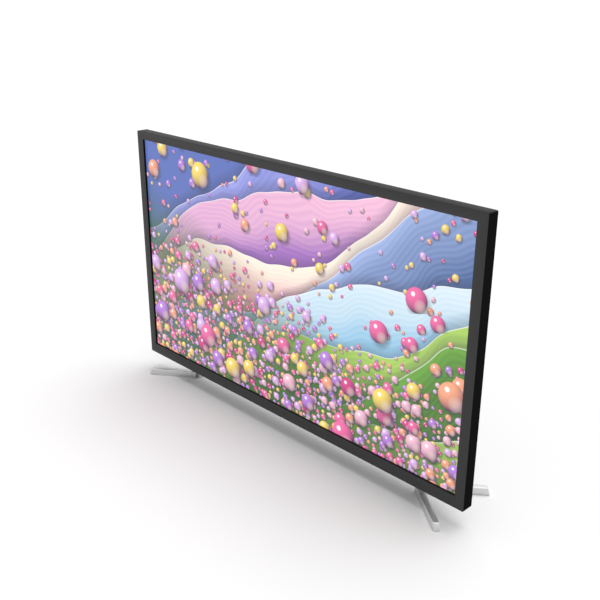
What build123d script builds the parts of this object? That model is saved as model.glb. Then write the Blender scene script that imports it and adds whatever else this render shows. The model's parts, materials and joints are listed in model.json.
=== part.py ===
from build123d import *
import math
import os

# A flat screen television of the 40 inch class on two V shaped feet, in millimetres.
# X runs across the screen to the viewer's right, Y from the screen to the back, Z up.
# The origin is on the floor, midway across the set and midway between the toes of its feet.
# A depth, in the names below, is measured backwards from the front of the bezel.

# Whole set
body_width = 926.0
body_height = 539.0
edge_depth = 24.7
body_depth = 66.0
floor_gap = 42.0
front_setback = 52.0
corner_radius = 2.5
wall = 2.2
gap = 0.3
fit = 0.1
overrun = 3.0

# Picture and bezel
bezel_side = 20.2
bezel_top = 16.95
chin_height = 23.9
glass_recess = 4.7
bezel_face = 2.4
lip_width = 3.0
bezel_edge_round = 0.9
seam_depth = 20.0
boss_radius = 2.6
screw_radius = 1.3

# Places of the screws around the rim, as shares of the body's width and height
side_cover_shares = (0.12, 0.40, 0.68, 0.93)
long_cover_shares = (-0.42, -0.15, 0.15, 0.42)
side_module_shares = (0.20, 0.50, 0.80)
long_module_shares = (-0.34, 0.0, 0.34)

# Display module
cell_margin = 6.0
cell_thick = 1.4
frame_wall = 2.0
frame_ledge = 1.5
frame_back_reach = 2.0
ear_thick = 1.5
film_thick = 0.3
film_margin = 4.5
plate_thick = 1.5
plate_margin = 5.0
optical_distance = 14.0
tray_slope_run = 34.0
reflector_thick = 0.5
steel_thick = 0.8
led_rows = 4
led_columns = 9
led_bar_height = 14.0
led_bar_thick = 1.0
led_bar_inset = 4.0
lens_radius = 8.0
lens_height = 5.0
lens_foot_share = 0.6
lens_hole_clearance = 1.0
support_base_radius = 4.0
support_tip_radius = 1.0
support_columns = 4

# Rear cover
margin = 14.0
flat_side_inset = 103.0
flat_bottom_rise = 20.0
flat_above_mount = 40.0
flat_bevel = 2.0
hump_corner = 16.0
bay_depth = 30.0
bay_bottom = 112.0
bay_top = 282.0
bay_wall_x = 262.0
inlet_bay_bottom = 152.0
inlet_bay_top = 200.0
vent_width = 3.0
vent_pitch = 12.0
vent_height = 34.0
vent_drop = 100.0
vent_count = 42
grille_pitch = 7.0
grille_count = 16
grille_front_depth = 36.0
grille_back_depth = 56.0
cover_head_radius = 2.4
cover_head_depth = 1.0

# Wall mount, the 200 by 200 pattern with M8 screws
mount_spacing = 200.0
mount_bore_radius = 4.0
mount_height = 300.0
nut_radius = 7.0
nut_length = 16.0
nut_collar = 2.0
bracket_half_width = 13.0
bracket_flange = 9.0
bracket_steel = 1.2
bracket_overhang = 26.0

# Feet
apex_inset = 135.0
arm_root_inset = 124.0
arm_root_y = 12.0
arm_root_width = 16.0
toe_inset = 35.5
toe_y = 79.0
toe_width = 12.0
toe_slope_run = 5.0
arm_top = 15.6
arm_bevel = 0.6
toe_bevel = 3.0
neck_width = 24.0
neck_foot_half_depth = 13.0
neck_front_depth = 36.0
neck_back_depth = 58.0
neck_straight_z = 52.0
neck_top_z = 100.0
pad_length = 18.0
pad_width = 7.0
pad_round_share = 0.3
pad_thick = 1.6
pad_proud = 0.6
foot_screw_radius = 2.0
foot_screw_heights = (74.0, 94.0)
foot_head_radius = 3.8
foot_bracket_flange = 10.0
foot_bracket_bottom = 68.0
foot_bracket_top = 108.0
foot_bracket_tail = 144.0

# Boards
board_thick = 1.6
board_depth = 36.5
board_bottom = 124.0
board_top = 280.0
board_inner_x = 122.0
post_radius = 3.0
post_inset = 8.0
post_outer_inset = 24.0
board_screw_radius = 1.4
board_head_radius = 2.8
board_head_height = 1.6
chip_height = 2.0
chip_size = 27.0
small_chip_size = 12.0
sink_size = 44.0
sink_base = 2.0
sink_height = 14.0
fin_count = 7
fin_thick = 1.2
connector_width = 22.0
connector_height = 6.0
connector_depth = 5.0
signal_port_x = 170.0
lamp_port_x = 150.0

# Sockets on the main board, placed upwards from the bottom of the jack bay
hdmi_size = (15.0, 6.0, 12.0)
usb_size = (14.0, 7.2, 14.0)
lan_size = (16.0, 13.5, 16.0)
audio_size = (11.0, 9.0, 13.0)
antenna_size = (14.0, 12.0, 14.0)
shell_thick = 0.6
tongue_thick = 1.1
lan_cavity = (11.8, 8.4, 12.0)
audio_bore_radius = 1.8
audio_bore_length = 12.0
antenna_radius = 4.7
antenna_reach = 10.0
antenna_bore_radius = 0.9
socket_first_rise = 16.0
socket_pitches = (26.0, 28.0, 28.0, 26.0, 24.0)
socket_clearance = 0.3

# Power board
transformer_size = (38.0, 20.0, 34.0)
winding_radius = 11.0
core_leg = 8.0
tall_part_inset = 16.0
capacitor_radius = 9.0
capacitor_height = 22.0
capacitor_pitch = 22.0
capacitor_count = 3
power_sink_size = (56.0, 20.0, 2.0)
power_sink_pitch = 34.0
power_sink_count = 2
inlet_size = (24.0, 14.0, 22.0)
inlet_cavity = (15.0, 9.0, 13.0)
inlet_pin_radius = 1.2
inlet_pin_spacing = 8.6
inlet_pin_length = 9.0
inlet_round_share = 0.49

# Panel drive boards
source_height = 12.0
source_end_inset = 32.8
source_start = 30.0
source_stand = 2.6
source_post_radius = 1.0
source_post_share = 0.9
source_thick = 1.0
film_cable_thick = 0.25
film_cable_width = 26.0
film_cables_per_side = 4
film_landing = 4.0
timing_half_width = 60.0
timing_bottom = 78.0
timing_height = 26.0
timing_stand = 2.0
ribbon_thick = 0.4
ribbon_width = 22.0
ribbon_rise = 6.0
ribbon_x = 45.0
ribbon_port = 2.0
ribbon_port_height = 7.0
video_lane = 136.0
video_landing = 8.0

# Wi-Fi module and remote sensor
wifi_inset = 133.0
wifi_bottom = 320.0
wifi_width = 24.0
wifi_height = 44.0
sensor_x = 160.0
lens_length = 24.0
lens_front_depth = 4.0
lens_back_depth = 12.0
lens_stand = 2.4
sensor_rib_thick = 1.5
sensor_chip_size = 6.0

# Speakers
speaker_inner_inset = 273.0
speaker_outer_inset = 145.0
speaker_front_depth = 30.0
speaker_back_depth = 62.0
speaker_bottom = 66.0
speaker_top = 100.0
speaker_wall = 2.0
driver_length = 70.0
driver_depth = 26.0
driver_flange = 2.0
basket_height = 12.0
basket_wall = 1.2
magnet_height = 8.0
cone_thick = 0.8
coil_radius = 6.0
coil_wall = 0.8
cone_travel_room = 2.0
speaker_tab = 12.0
speaker_tab_rise = 6.0
speaker_tab_drop = 4.0
magnet_radius = 11.0
coil_room = 6.0
oblong_round_share = 0.49

# Jog button at the back
jog_inset = 68.0
jog_z = 100.0
jog_boss_radius = 20.0
jog_bore_radius = 16.0
jog_boss_front_depth = 34.0
jog_boss_back_depth = 57.0
jog_web_front_depth = 46.0
jog_dish_depth = 49.0
jog_dish_radius = 15.0
jog_hole_radius = 9.5
jog_pivot_depth = 40.0
cradle_radius = 13.5
cradle_bore_radius = 11.5
cradle_lip_radius = 11.0
cradle_bottom_depth = 31.0
cradle_bottom_thick = 1.5
cradle_lip_depth = 36.8
cradle_flange = 2.5
plunger_thick = 1.6
plunger_hole_radius = 5.0
ear_inner = 8.9
ear_outer = 10.2
ear_half_width = 2.2
gimbal_outer_radius = 8.6
gimbal_inner_radius = 6.4
gimbal_thick = 2.6
trunnion_radius = 0.8
trunnion_clearance = 0.06
stem_radius = 3.2
stem_tip_depth = 37.0
cap_radius = 7.0
cap_front_depth = 50.6
cap_back_depth = 56.0
cap_dimple_radius = 14.0
cap_dimple_depth = 1.0
cap_round = 0.8
jog_board_width = 20.0
jog_board_thick = 1.6
jog_port_width = 6.0
jog_port_depth = 2.6
switch_radius = 3.6
switch_height = 2.0
switch_tip_radius = 1.4
switch_tip_depth = 35.0

# Wires
wire_radius = 1.2
wire_bend = 4.0
wire_stand = 1.9
wire_lane_z = 116.5
wire_lane_pitch = 4.0
wire_lane_count = 3
wire_end_pitch = 4.0
wire_end_count = 4
wire_swing = 6.0
jog_wire_reach = 15.0
jog_wire_slope_run = 9.0
sensor_wire_reach = 12.0
sensor_climb_z = 70.0
sensor_climb = 10.0
wifi_wire_z = 300.0
clip_width = 6.0
clip_wall = 1.6
clip_places = (160.0, 70.0, -40.0, -140.0)
harness_height = 166.0
harness_dip = 8.0
harness_run = 26.0
harness_stub = 6.0
speaker_wire_inset = 227.0
harness_pitch = 3.0
harness_wires = 4

# Places that follow from the sizes above. An inset is measured inwards from the body's side.
body_side = body_width / 2
body_bottom = floor_gap
body_top = floor_gap + body_height
picture_width = body_width - 2 * bezel_side
picture_height = body_height - chin_height - bezel_top
picture_bottom = body_bottom + chin_height
picture_top = picture_bottom + picture_height
picture_middle = (picture_bottom + picture_top) / 2
flat_half_width = body_side - flat_side_inset
flat_top = mount_height + mount_spacing / 2 + flat_above_mount
apex_x = body_side - apex_inset
arm_root_x = body_side - arm_root_inset
toe_x = body_side - toe_inset
source_length = picture_width / 2 - source_end_inset - source_start
wifi_x = wifi_inset - body_side
speaker_inner_x = body_side - speaker_inner_inset
speaker_outer_x = body_side - speaker_outer_inset
speaker_wire_x = body_side - speaker_wire_inset
jog_x = body_side - jog_inset
cell_back = glass_recess + cell_thick
ledge_back = cell_back + frame_ledge
prism_back = ledge_back + film_thick
diffuser_back = prism_back + film_thick
plate_back = diffuser_back + plate_thick
reflector_back = plate_back + reflector_thick
flange_back = reflector_back + steel_thick
frame_back = flange_back + frame_back_reach
tray_floor = plate_back + optical_distance
bar_front = tray_floor + reflector_thick + gap
bar_back = bar_front + led_bar_thick
pan_back = bar_back + steel_thick
cover_inside = body_depth - wall
frame_grow = cell_margin + gap + frame_wall
ear_front = plate_back
side_boss_x = (picture_width / 2 + frame_grow + body_side - wall) / 2
top_boss_z = (picture_top + frame_grow + body_top - wall) / 2
bottom_boss_z = body_bottom + wall + boss_radius + gap
board_back = board_depth + board_thick
board_outer_x = bay_wall_x - wall - gap
port_depth = board_back + connector_depth / 2
ribbon_front = pan_back + timing_stand + board_thick + ribbon_port
ribbon_back = ribbon_front + ribbon_thick


def rect(x0, x1, z0, z1, radius=0):
    """A rectangle in the front view, from x0 to x1 and z0 to z1."""
    width, height = x1 - x0, z1 - z0
    shape = RectangleRounded(width, height, radius) if radius > 0 else Rectangle(width, height)
    return Pos((x0 + x1) / 2, (z0 + z1) / 2) * shape


def plate(sketch, front, back):
    """A front view sketch made solid between two depths."""
    return Pos(0, back - front_setback, 0) * Rot(90, 0, 0) * extrude(sketch, back - front)


def taper(front_sketch, front, back_sketch, back):
    """A solid that runs from one front view sketch to another."""
    form = loft([back_sketch, Pos(0, 0, back - front) * front_sketch], ruled=True)
    return Pos(0, back - front_setback, 0) * Rot(90, 0, 0) * form


def block(x0, x1, front, back, z0, z1):
    """A box between two x places, two depths and two heights."""
    return plate(rect(x0, x1, z0, z1), front, back)


def rod_y(x, z, front, back, radius):
    """A round bar that runs backwards."""
    return plate(Pos(x, z) * Circle(radius), front, back)


def rod_x(x0, x1, depth, z, radius):
    """A round bar that runs across the set."""
    middle = Pos((x0 + x1) / 2, depth - front_setback, z)
    return middle * Rot(0, 90, 0) * Cylinder(radius, x1 - x0)


def rod_z(x, depth, z0, z1, radius):
    """An upright round bar."""
    return Pos(x, depth - front_setback, (z0 + z1) / 2) * Cylinder(radius, z1 - z0)


def side_profile(points, x0, x1):
    """A closed outline of (depth, height) points, made solid from x0 to x1."""
    face = make_face(Polyline([(depth - front_setback, z) for depth, z in points], close=True))
    return Pos(x0, 0, 0) * Rot(0, 0, 90) * Rot(90, 0, 0) * extrude(face, x1 - x0)


def mirrored(shape):
    """The same piece on the other side of the set."""
    return mirror(shape, about=Plane.YZ)


def group(shapes):
    """Several separate solids kept in one node."""
    return Compound([solid for shape in shapes for solid in shape.solids()])


def around_picture(grow):
    """The picture's outline, drawn larger all round."""
    half = picture_width / 2 + grow
    return rect(-half, half, picture_bottom - grow, picture_top + grow)


def body_outline(inset):
    """The set's outline from the front, drawn in all round."""
    half = body_side - inset
    return rect(-half, half, body_bottom + inset, body_top - inset, max(corner_radius - inset, 0))


def rim_points(side_shares, long_shares):
    """Screw places around the rim, as x and z."""
    heights = [body_bottom + share * body_height for share in side_shares]
    widths = [share * body_width for share in long_shares]
    sides = [(sign * side_boss_x, z) for sign in (-1, 1) for z in heights]
    return sides + [(x, z) for x in widths for z in (bottom_boss_z, top_boss_z)]


cover_points = rim_points(side_cover_shares, long_cover_shares)
module_points = rim_points(side_module_shares, long_module_shares)


def front_bezel():
    """The moulded front frame, with its side wall, the lip round the glass and the screw bosses."""
    shell = plate(body_outline(0), 0, seam_depth)
    front_edges = shell.faces().sort_by(Axis.Y)[0].edges()
    shell = fillet(front_edges, bezel_edge_round)
    shell -= plate(body_outline(wall), bezel_face, seam_depth + overrun)
    shell += plate(around_picture(lip_width), bezel_face - gap, glass_recess)
    shell -= plate(around_picture(0), -overrun, glass_recess + overrun)
    cover_depth = edge_depth - wall
    for x, z in cover_points:
        shell += rod_y(x, z, bezel_face - gap, cover_depth, boss_radius)
    for x, z in module_points:
        shell += rod_y(x, z, bezel_face - gap, ear_front, boss_radius)
    for x, z in cover_points + module_points:
        shell -= rod_y(x, z, glass_recess, edge_depth, screw_radius)
    rib_front = lens_front_depth - sensor_rib_thick - gap
    rib_back = lens_back_depth + sensor_rib_thick + gap
    half = lens_length / 2
    for front in (rib_front, rib_back - sensor_rib_thick):
        rib_top = body_bottom + lens_stand + wall
        shell += block(sensor_x - half, sensor_x + half, front, front + sensor_rib_thick,
                       body_bottom + wall - gap, rib_top)
    return shell - sensor_slot()


def sensor_slot():
    """The opening under the bezel's bottom rail, through which the remote sensor looks."""
    half = lens_length / 2 + gap / 2
    return block(sensor_x - half, sensor_x + half, lens_front_depth - gap / 2,
                 lens_back_depth + gap / 2, body_bottom - overrun, body_bottom + wall + overrun)


def hump_outline(share, inset):
    """The hump's outline at a share of the way from its foot to its flat back."""
    foot = (body_side - margin, body_bottom + margin, body_top - margin)
    flat = (flat_half_width, body_bottom + flat_bottom_rise, flat_top)
    half, low, high = [a + (b - a) * share for a, b in zip(foot, flat)]
    return rect(inset - half, half - inset, low + inset, high - inset, hump_corner - inset)


def cover_form(inset, front):
    """The outside of the rear cover, or its inside when it is drawn in by the wall."""
    shoulder_depth = body_depth - flat_bevel
    shoulder_share = (shoulder_depth - edge_depth) / (body_depth - edge_depth)
    shoulder = hump_outline(shoulder_share, inset)
    hump = taper(hump_outline(0, inset), edge_depth - inset, shoulder, shoulder_depth - inset)
    hump += taper(shoulder, shoulder_depth - inset, hump_outline(1, inset + flat_bevel),
                  body_depth - inset)
    return plate(body_outline(inset), front, edge_depth - inset) + hump


def bay(grow, side, bottom, top):
    """The recess at one side of the back, in which the sockets face outwards."""
    inner = bay_wall_x - grow
    x0, x1 = (-body_side, -inner) if side < 0 else (inner, body_side)
    return block(x0, x1, bay_depth - grow, body_depth + overrun, bottom - grow, top + grow)


def neck_slot():
    """The opening under the body for the neck of the right foot."""
    return block(apex_x - gap, apex_x + neck_width + gap, neck_front_depth - gap,
                 neck_back_depth + gap, body_bottom, body_bottom + flat_bottom_rise + 2 * wall)


def rear_cover():
    """The moulded back shell, with the jack bays, vents, grilles and the seat of the jog button."""
    outside = cover_form(0, seam_depth + gap)
    outside -= bay(0, -1, bay_bottom, bay_top)
    outside -= bay(0, 1, inlet_bay_bottom, inlet_bay_top)
    inside = cover_form(wall, seam_depth - overrun)
    inside -= bay(wall, -1, bay_bottom, bay_top)
    inside -= bay(wall, 1, inlet_bay_bottom, inlet_bay_top)
    shell = outside - inside
    shell += rod_y(jog_x, jog_z, jog_boss_front_depth, jog_boss_back_depth, jog_boss_radius)
    shell -= rod_y(jog_x, jog_z, jog_boss_front_depth - overrun, jog_web_front_depth, jog_bore_radius)
    shell -= rod_y(jog_x, jog_z, jog_dish_depth, body_depth + overrun, jog_dish_radius)
    shell -= rod_y(jog_x, jog_z, jog_web_front_depth - overrun, body_depth, jog_hole_radius)
    cuts = [neck_slot(), mirrored(neck_slot())]
    for x, z in cover_points:
        cuts.append(rod_y(x, z, seam_depth, edge_depth + overrun, screw_radius + gap))
        cuts.append(rod_y(x, z, edge_depth - cover_head_depth, edge_depth + overrun,
                          cover_head_radius + gap))
    for x, z in mount_points():
        cuts.append(rod_y(x, z, cover_inside - overrun, body_depth + overrun, nut_radius + gap))
    for sign in (-1, 1):
        x = sign * (apex_x + neck_width / 2)
        for z in foot_screw_heights:
            cuts.append(rod_y(x, z, cover_inside - overrun, body_depth + overrun,
                              foot_head_radius + gap))
    vent_top = body_top - vent_drop
    for index in range(vent_count):
        x = (index - (vent_count - 1) / 2) * vent_pitch
        cuts.append(block(x - vent_width / 2, x + vent_width / 2, edge_depth, body_depth,
                          vent_top - vent_height, vent_top))
    grille_middle = (speaker_inner_x + speaker_outer_x) / 2
    for index in range(grille_count):
        x = grille_middle + (index - (grille_count - 1) / 2) * grille_pitch
        slot = block(x - vent_width / 2, x + vent_width / 2, grille_front_depth,
                     grille_back_depth, body_bottom, speaker_bottom - gap)
        cuts += [slot, mirrored(slot)]
    cuts += socket_cutouts()
    return shell - cuts


def mount_points():
    """Centres of the four wall mount screws."""
    reach = mount_spacing / 2
    return [(x, mount_height + z) for x in (-reach, reach) for z in (-reach, reach)]


def cover_screws():
    """Screws that hold the rear cover to the bezel, with their heads let into the cover."""
    head_front = edge_depth - cover_head_depth
    screws = []
    for x, z in cover_points:
        shank = rod_y(x, z, seam_depth / 2, head_front, screw_radius - fit)
        screws.append(shank + rod_y(x, z, head_front, edge_depth, cover_head_radius))
    return group(screws)


def lcd_cell():
    """The glass panel that shows the picture."""
    return plate(around_picture(cell_margin), glass_recess, cell_back)


def mid_frame():
    """The plastic frame that holds the glass in front and the films behind."""
    ring = plate(around_picture(frame_grow), glass_recess, frame_back)
    for x, z in module_points:
        ring += ear(x, z)
    ring -= plate(around_picture(cell_margin + gap), glass_recess - overrun, cell_back)
    ring -= plate(around_picture(film_thick), cell_back - overrun, ledge_back + overrun)
    ring -= plate(around_picture(cell_margin + gap), ledge_back, frame_back + overrun)
    for x, z in module_points:
        ring -= rod_y(x, z, ear_front - overrun, ear_front + ear_thick + overrun, screw_radius + gap)
    notch_back = glass_recess + cell_thick / 2 + film_cable_thick + gap
    reach = film_cable_width / 2 + gap
    for x in film_places():
        ring -= block(x - reach, x + reach, glass_recess - overrun, notch_back,
                      picture_bottom - frame_grow - gap, picture_bottom - cell_margin)
    return ring


def film_places():
    """Middles of the films that fold under the mid frame."""
    step = source_length / film_cables_per_side
    xs = [source_start + (index + 0.5) * step for index in range(film_cables_per_side)]
    return [side * x for side in (-1, 1) for x in xs]


def ear(x, z):
    """A tab on the mid frame for one screw into the bezel."""
    half = boss_radius + frame_wall / 2
    on_side = math.isclose(abs(x), side_boss_x)
    if on_side:
        inner = picture_width / 2 + cell_margin + 2 * gap
        outer = side_boss_x + boss_radius
        x0, x1 = (-outer, -inner) if x < 0 else (inner, outer)
        return block(x0, x1, ear_front, ear_front + ear_thick, z - half, z + half)
    if z < picture_middle:
        z0, z1 = z - boss_radius, picture_bottom - cell_margin - 2 * gap
    else:
        z0, z1 = picture_top + cell_margin + 2 * gap, z + boss_radius
    return block(x - half, x + half, ear_front, ear_front + ear_thick, z0, z1)


def module_screws():
    """Screws that hold the display module to the bezel."""
    head_front = ear_front + ear_thick
    screws = []
    for x, z in module_points:
        shank = rod_y(x, z, glass_recess + gap, head_front, screw_radius - fit)
        screws.append(shank + rod_y(x, z, head_front, head_front + cover_head_depth,
                                    cover_head_radius))
    return group(screws)


def film(front, back, grow):
    """A flat sheet or plate in the display module."""
    return plate(around_picture(grow), front, back)


def tray(grow, front, floor):
    """The inside of a shallow tray with sloping sides, which opens to the front."""
    return taper(around_picture(grow), front, around_picture(grow - tray_slope_run), floor)


def led_points():
    """Places of the lamps, row by row."""
    rows = []
    for row in range(led_rows):
        z = picture_bottom + (row + 0.5) * picture_height / led_rows
        columns = [(column + 0.5) / led_columns - 0.5 for column in range(led_columns)]
        rows.append([(share * picture_width, z) for share in columns])
    return rows


def reflector_sheet():
    """The white tray behind the diffuser plate, with a hole for each lamp."""
    sheet = plate(around_picture(plate_margin), plate_back, reflector_back)
    sheet += tray(reflector_thick, plate_back, tray_floor + reflector_thick)
    sheet -= tray(0, plate_back, tray_floor)
    holes = []
    for row in led_points():
        for x, z in row:
            holes.append(rod_y(x, z, tray_floor - overrun, tray_floor + overrun,
                               lens_radius + lens_hole_clearance))
    return sheet - holes


def back_chassis():
    """The pressed steel pan, with posts for the boards and a rim for the films."""
    pan = plate(around_picture(cell_margin), reflector_back, flange_back)
    inner_grow = reflector_thick + gap
    pan += tray(inner_grow + steel_thick, reflector_back, pan_back)
    for x, z in board_points():
        pan += rod_y(x, z, bar_back, board_depth, post_radius)
    for x, z in wifi_points():
        pan += rod_y(x, z, bar_back, pan_back + timing_stand, post_radius)
    for x, z in timing_points():
        pan += rod_y(x, z, bar_back, pan_back + timing_stand, post_radius)
    for side in (-1, 1):
        for x, z in source_points(side):
            pan += rod_y(x, z, reflector_back, flange_back + source_stand, source_post_radius)
    pan -= tray(inner_grow, reflector_back, bar_back)
    holes = [rod_y(x, z, pan_back, board_depth + overrun, board_screw_radius)
             for x, z in board_points()]
    return pan - holes


def led_bar(row):
    """One strip of lamps: a narrow board with a small chip under each lens."""
    half = picture_width / 2 - tray_slope_run - led_bar_inset
    points = led_points()[row]
    z = points[0][1]
    return block(-half, half, bar_front, bar_back, z - led_bar_height / 2, z + led_bar_height / 2)


def led_lenses():
    """Wide angle lenses over the lamps, shaped like shallow bowls."""
    lenses = []
    for row in led_points():
        for x, z in row:
            back = Pos(x, z) * Circle(lens_radius * lens_foot_share)
            front = Pos(x, z) * Circle(lens_radius)
            lenses.append(taper(front, bar_front - lens_height, back, bar_front))
    return group(lenses)


def diffuser_supports():
    """Slim cones that stop the diffuser plate from sagging towards the lamps."""
    cones = []
    for row in range(led_rows - 1):
        z = picture_bottom + (row + 1) * picture_height / led_rows
        for column in range(support_columns):
            x = ((column + 0.5) / support_columns - 0.5) * picture_width
            tip = Pos(x, z) * Circle(support_tip_radius)
            base = Pos(x, z) * Circle(support_base_radius)
            cones.append(taper(tip, plate_back + gap, base, tray_floor))
    return group(cones)


def source_points(side):
    """Small posts behind the lower rim that hold one source board, as x and z."""
    middle = picture_bottom - cell_margin / 2
    reach = source_length * source_post_share
    start = source_start + (source_length - reach) / 2
    xs = [start + reach * share for share in (0, 0.5, 1)]
    return [(side * x, middle) for x in xs]


def source_board(side):
    """One long narrow board that drives half of the glass's columns."""
    front = flange_back + source_stand
    x0, x1 = sorted((side * source_start, side * (source_start + source_length)))
    low = picture_bottom - frame_grow
    board = block(x0, x1, front, front + source_thick, low, low + source_height)
    port = side * ribbon_x
    port_block = block(port - ribbon_width / 2 - wall, port + ribbon_width / 2 + wall,
                       front + source_thick, front + source_thick + ribbon_port, low + wall,
                       low + source_height - wall)
    return board + port_block


def source_films():
    """Thin films that fold under the mid frame, from the glass's edge to the source boards."""
    glass_low = picture_bottom - cell_margin
    fold = picture_bottom - frame_grow - film_cable_thick - gap
    front = glass_recess + cell_thick / 2
    back = flange_back + source_stand + source_thick
    thick = film_cable_thick
    outline = [(front, glass_low), (front, fold), (back + thick, fold),
               (back + thick, glass_low + film_landing), (back, glass_low + film_landing),
               (back, fold + thick), (front + thick, fold + thick), (front + thick, glass_low)]
    half = film_cable_width / 2
    return group([side_profile(outline, x - half, x + half) for x in film_places()])


def timing_points():
    """Posts under the timing board."""
    inset = post_inset / 2
    z = timing_bottom + timing_height - inset
    return [(x, z) for x in (-timing_half_width + inset, timing_half_width - inset)]


def timing_board():
    """The small board that times the picture, with its two ribbon ports below."""
    front = pan_back + timing_stand
    back = front + board_thick
    top = timing_bottom + timing_height
    board = block(-timing_half_width, timing_half_width, front, back, timing_bottom, top)
    half = ribbon_width / 2 + wall
    for side in (-1, 1):
        x = side * ribbon_x
        board += block(x - half, x + half, back, back + ribbon_port, timing_bottom,
                       timing_bottom + ribbon_port_height)
    board += block(-half, half, back, back + ribbon_port, top - ribbon_port_height, top)
    chip = small_chip_size / 2
    middle = timing_bottom + timing_height / 2
    return board + block(-chip, chip, back, back + chip_height, middle - chip, middle + chip)


def source_ribbon(side):
    """A flat ribbon from the timing board down to one source board."""
    low = picture_bottom - frame_grow + wall
    start = flange_back + source_stand + source_thick + ribbon_port
    bend = timing_bottom - ribbon_rise / 2
    top = timing_bottom + ribbon_port_height
    outline = [(start, low), (start + ribbon_thick, low), (start + ribbon_thick, low + ribbon_rise),
               (ribbon_back, bend), (ribbon_back, top), (ribbon_front, top), (ribbon_front, bend),
               (start, low + ribbon_rise)]
    half = ribbon_width / 2
    return side_profile(outline, side * ribbon_x - half, side * ribbon_x + half)


def video_ribbon():
    """The flat ribbon from the main board to the timing board, folded once."""
    low = timing_bottom + timing_height - ribbon_port_height
    half = ribbon_width / 2
    top = video_lane + ribbon_width
    rise = block(-half, half, ribbon_front, ribbon_back, low, top)
    return rise + block(-board_inner_x - video_landing, -half, ribbon_front, ribbon_back,
                        video_lane, top)


def ribbon_cables():
    """The three flat ribbons that carry the picture from board to board."""
    return group([source_ribbon(-1), source_ribbon(1), video_ribbon()])


def board_points():
    """Posts under the main board and the power board."""
    xs = (board_inner_x + post_inset, board_outer_x - post_outer_inset)
    zs = (board_bottom + post_inset, board_top - post_inset)
    return [(side * x, z) for side in (-1, 1) for x in xs for z in zs]


def board_screws():
    """Screws that hold the two large boards to their posts."""
    screws = []
    for x, z in board_points():
        shank = rod_y(x, z, pan_back + gap, board_back, board_screw_radius - fit)
        screws.append(shank + rod_y(x, z, board_back, board_back + board_head_height,
                                    board_head_radius))
    return group(screws)


def large_board(side):
    """A blank circuit board at one side, with its screw holes."""
    x0, x1 = sorted((side * board_inner_x, side * board_outer_x))
    board = block(x0, x1, board_depth, board_back, board_bottom, board_top)
    return board - [rod_y(x, z, board_depth - overrun, board_back + overrun,
                          board_screw_radius + gap) for x, z in board_points() if x * side > 0]


def main_chip_place():
    """Centre of the main chip."""
    return -(board_inner_x + board_outer_x) / 2 + post_inset, (board_bottom + board_top) / 2


def main_board():
    """The board that decodes and controls, with its chips and cable ports."""
    board = large_board(-1)
    x, z = main_chip_place()
    half = chip_size / 2
    board += block(x - half, x + half, board_back, board_back + chip_height, z - half, z + half)
    small = small_chip_size / 2
    above = z + sink_size / 2 + small_chip_size
    for offset in (-small_chip_size, small_chip_size):
        board += block(x + offset - small, x + offset + small, board_back,
                       board_back + chip_height, above - small, above + small)
    port = block(-board_inner_x - connector_height, -board_inner_x, board_back,
                 board_back + connector_depth, harness_height - connector_width / 2,
                 harness_height + connector_width / 2)
    low_port = block(-signal_port_x - connector_width / 2, -signal_port_x + connector_width / 2,
                     board_back, board_back + connector_depth, board_bottom,
                     board_bottom + connector_height)
    top_port = block(-signal_port_x - connector_width / 2, -signal_port_x + connector_width / 2,
                     board_back, board_back + connector_depth, board_top - connector_height,
                     board_top)
    ribbon_port_block = block(-board_inner_x - video_landing, -board_inner_x, ribbon_back,
                              board_depth, video_lane, video_lane + ribbon_width)
    return board + port + low_port + top_port + ribbon_port_block


def heat_sink():
    """The finned aluminium block on the main chip."""
    x, z = main_chip_place()
    half = sink_size / 2
    base = board_back + chip_height
    sink = block(x - half, x + half, base, base + sink_base, z - half, z + half)
    step = (sink_size - fin_thick) / (fin_count - 1)
    for index in range(fin_count):
        left = x - half + index * step
        sink += block(left, left + fin_thick, base, base + sink_height, z - half, z + half)
    return sink


def socket_places():
    """Heights of the sockets' middles in the jack bay, from the bottom up."""
    heights = [bay_bottom + socket_first_rise]
    for pitch in socket_pitches:
        heights.append(heights[-1] + pitch)
    return heights


def socket_body(size, z):
    """The outer block of a side facing socket on the main board."""
    width, height, length = size
    return block(-bay_wall_x, -bay_wall_x + length, board_back, board_back + height,
                 z - width / 2, z + width / 2)


def socket_cut(size, z, side):
    """The opening for one socket in the wall of a bay."""
    half, height = size[0] / 2 + socket_clearance, size[1]
    x0, x1 = sorted((side * (bay_wall_x + overrun), side * (bay_wall_x - wall - overrun)))
    return block(x0, x1, board_back - socket_clearance, board_back + height + socket_clearance,
                 z - half, z + half)


def shell_socket(size, z):
    """A metal shell with a tongue inside, as for pictures or data."""
    width, height, length = size
    wide = width / 2 - shell_thick
    middle = board_back + height / 2
    body = socket_body(size, z)
    body -= block(-bay_wall_x - overrun, -bay_wall_x + length - shell_thick,
                  board_back + shell_thick, board_back + height - shell_thick, z - wide, z + wide)
    return body + block(-bay_wall_x + shell_thick, -bay_wall_x + length - shell_thick / 2,
                        middle - tongue_thick / 2, middle + tongue_thick / 2,
                        z - wide + tongue_thick, z + wide - tongue_thick)


def hdmi_sockets():
    """Two wide, flat sockets."""
    heights = socket_places()
    return group([shell_socket(hdmi_size, z) for z in heights[:2]])


def usb_socket():
    """The socket for a memory stick."""
    return shell_socket(usb_size, socket_places()[2])


def lan_socket():
    """The network socket, a block with a square cavity."""
    z = socket_places()[3]
    width, height, length = lan_cavity
    middle = board_back + lan_size[1] / 2
    return socket_body(lan_size, z) - block(-bay_wall_x - overrun, -bay_wall_x + length,
                                            middle - height / 2, middle + height / 2,
                                            z - width / 2, z + width / 2)


def audio_socket():
    """The sound socket, a block with a round bore."""
    z = socket_places()[4]
    middle = board_back + audio_size[1] / 2
    bore = rod_x(-bay_wall_x - overrun, -bay_wall_x + audio_bore_length, middle, z,
                 audio_bore_radius)
    return socket_body(audio_size, z) - bore


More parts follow.
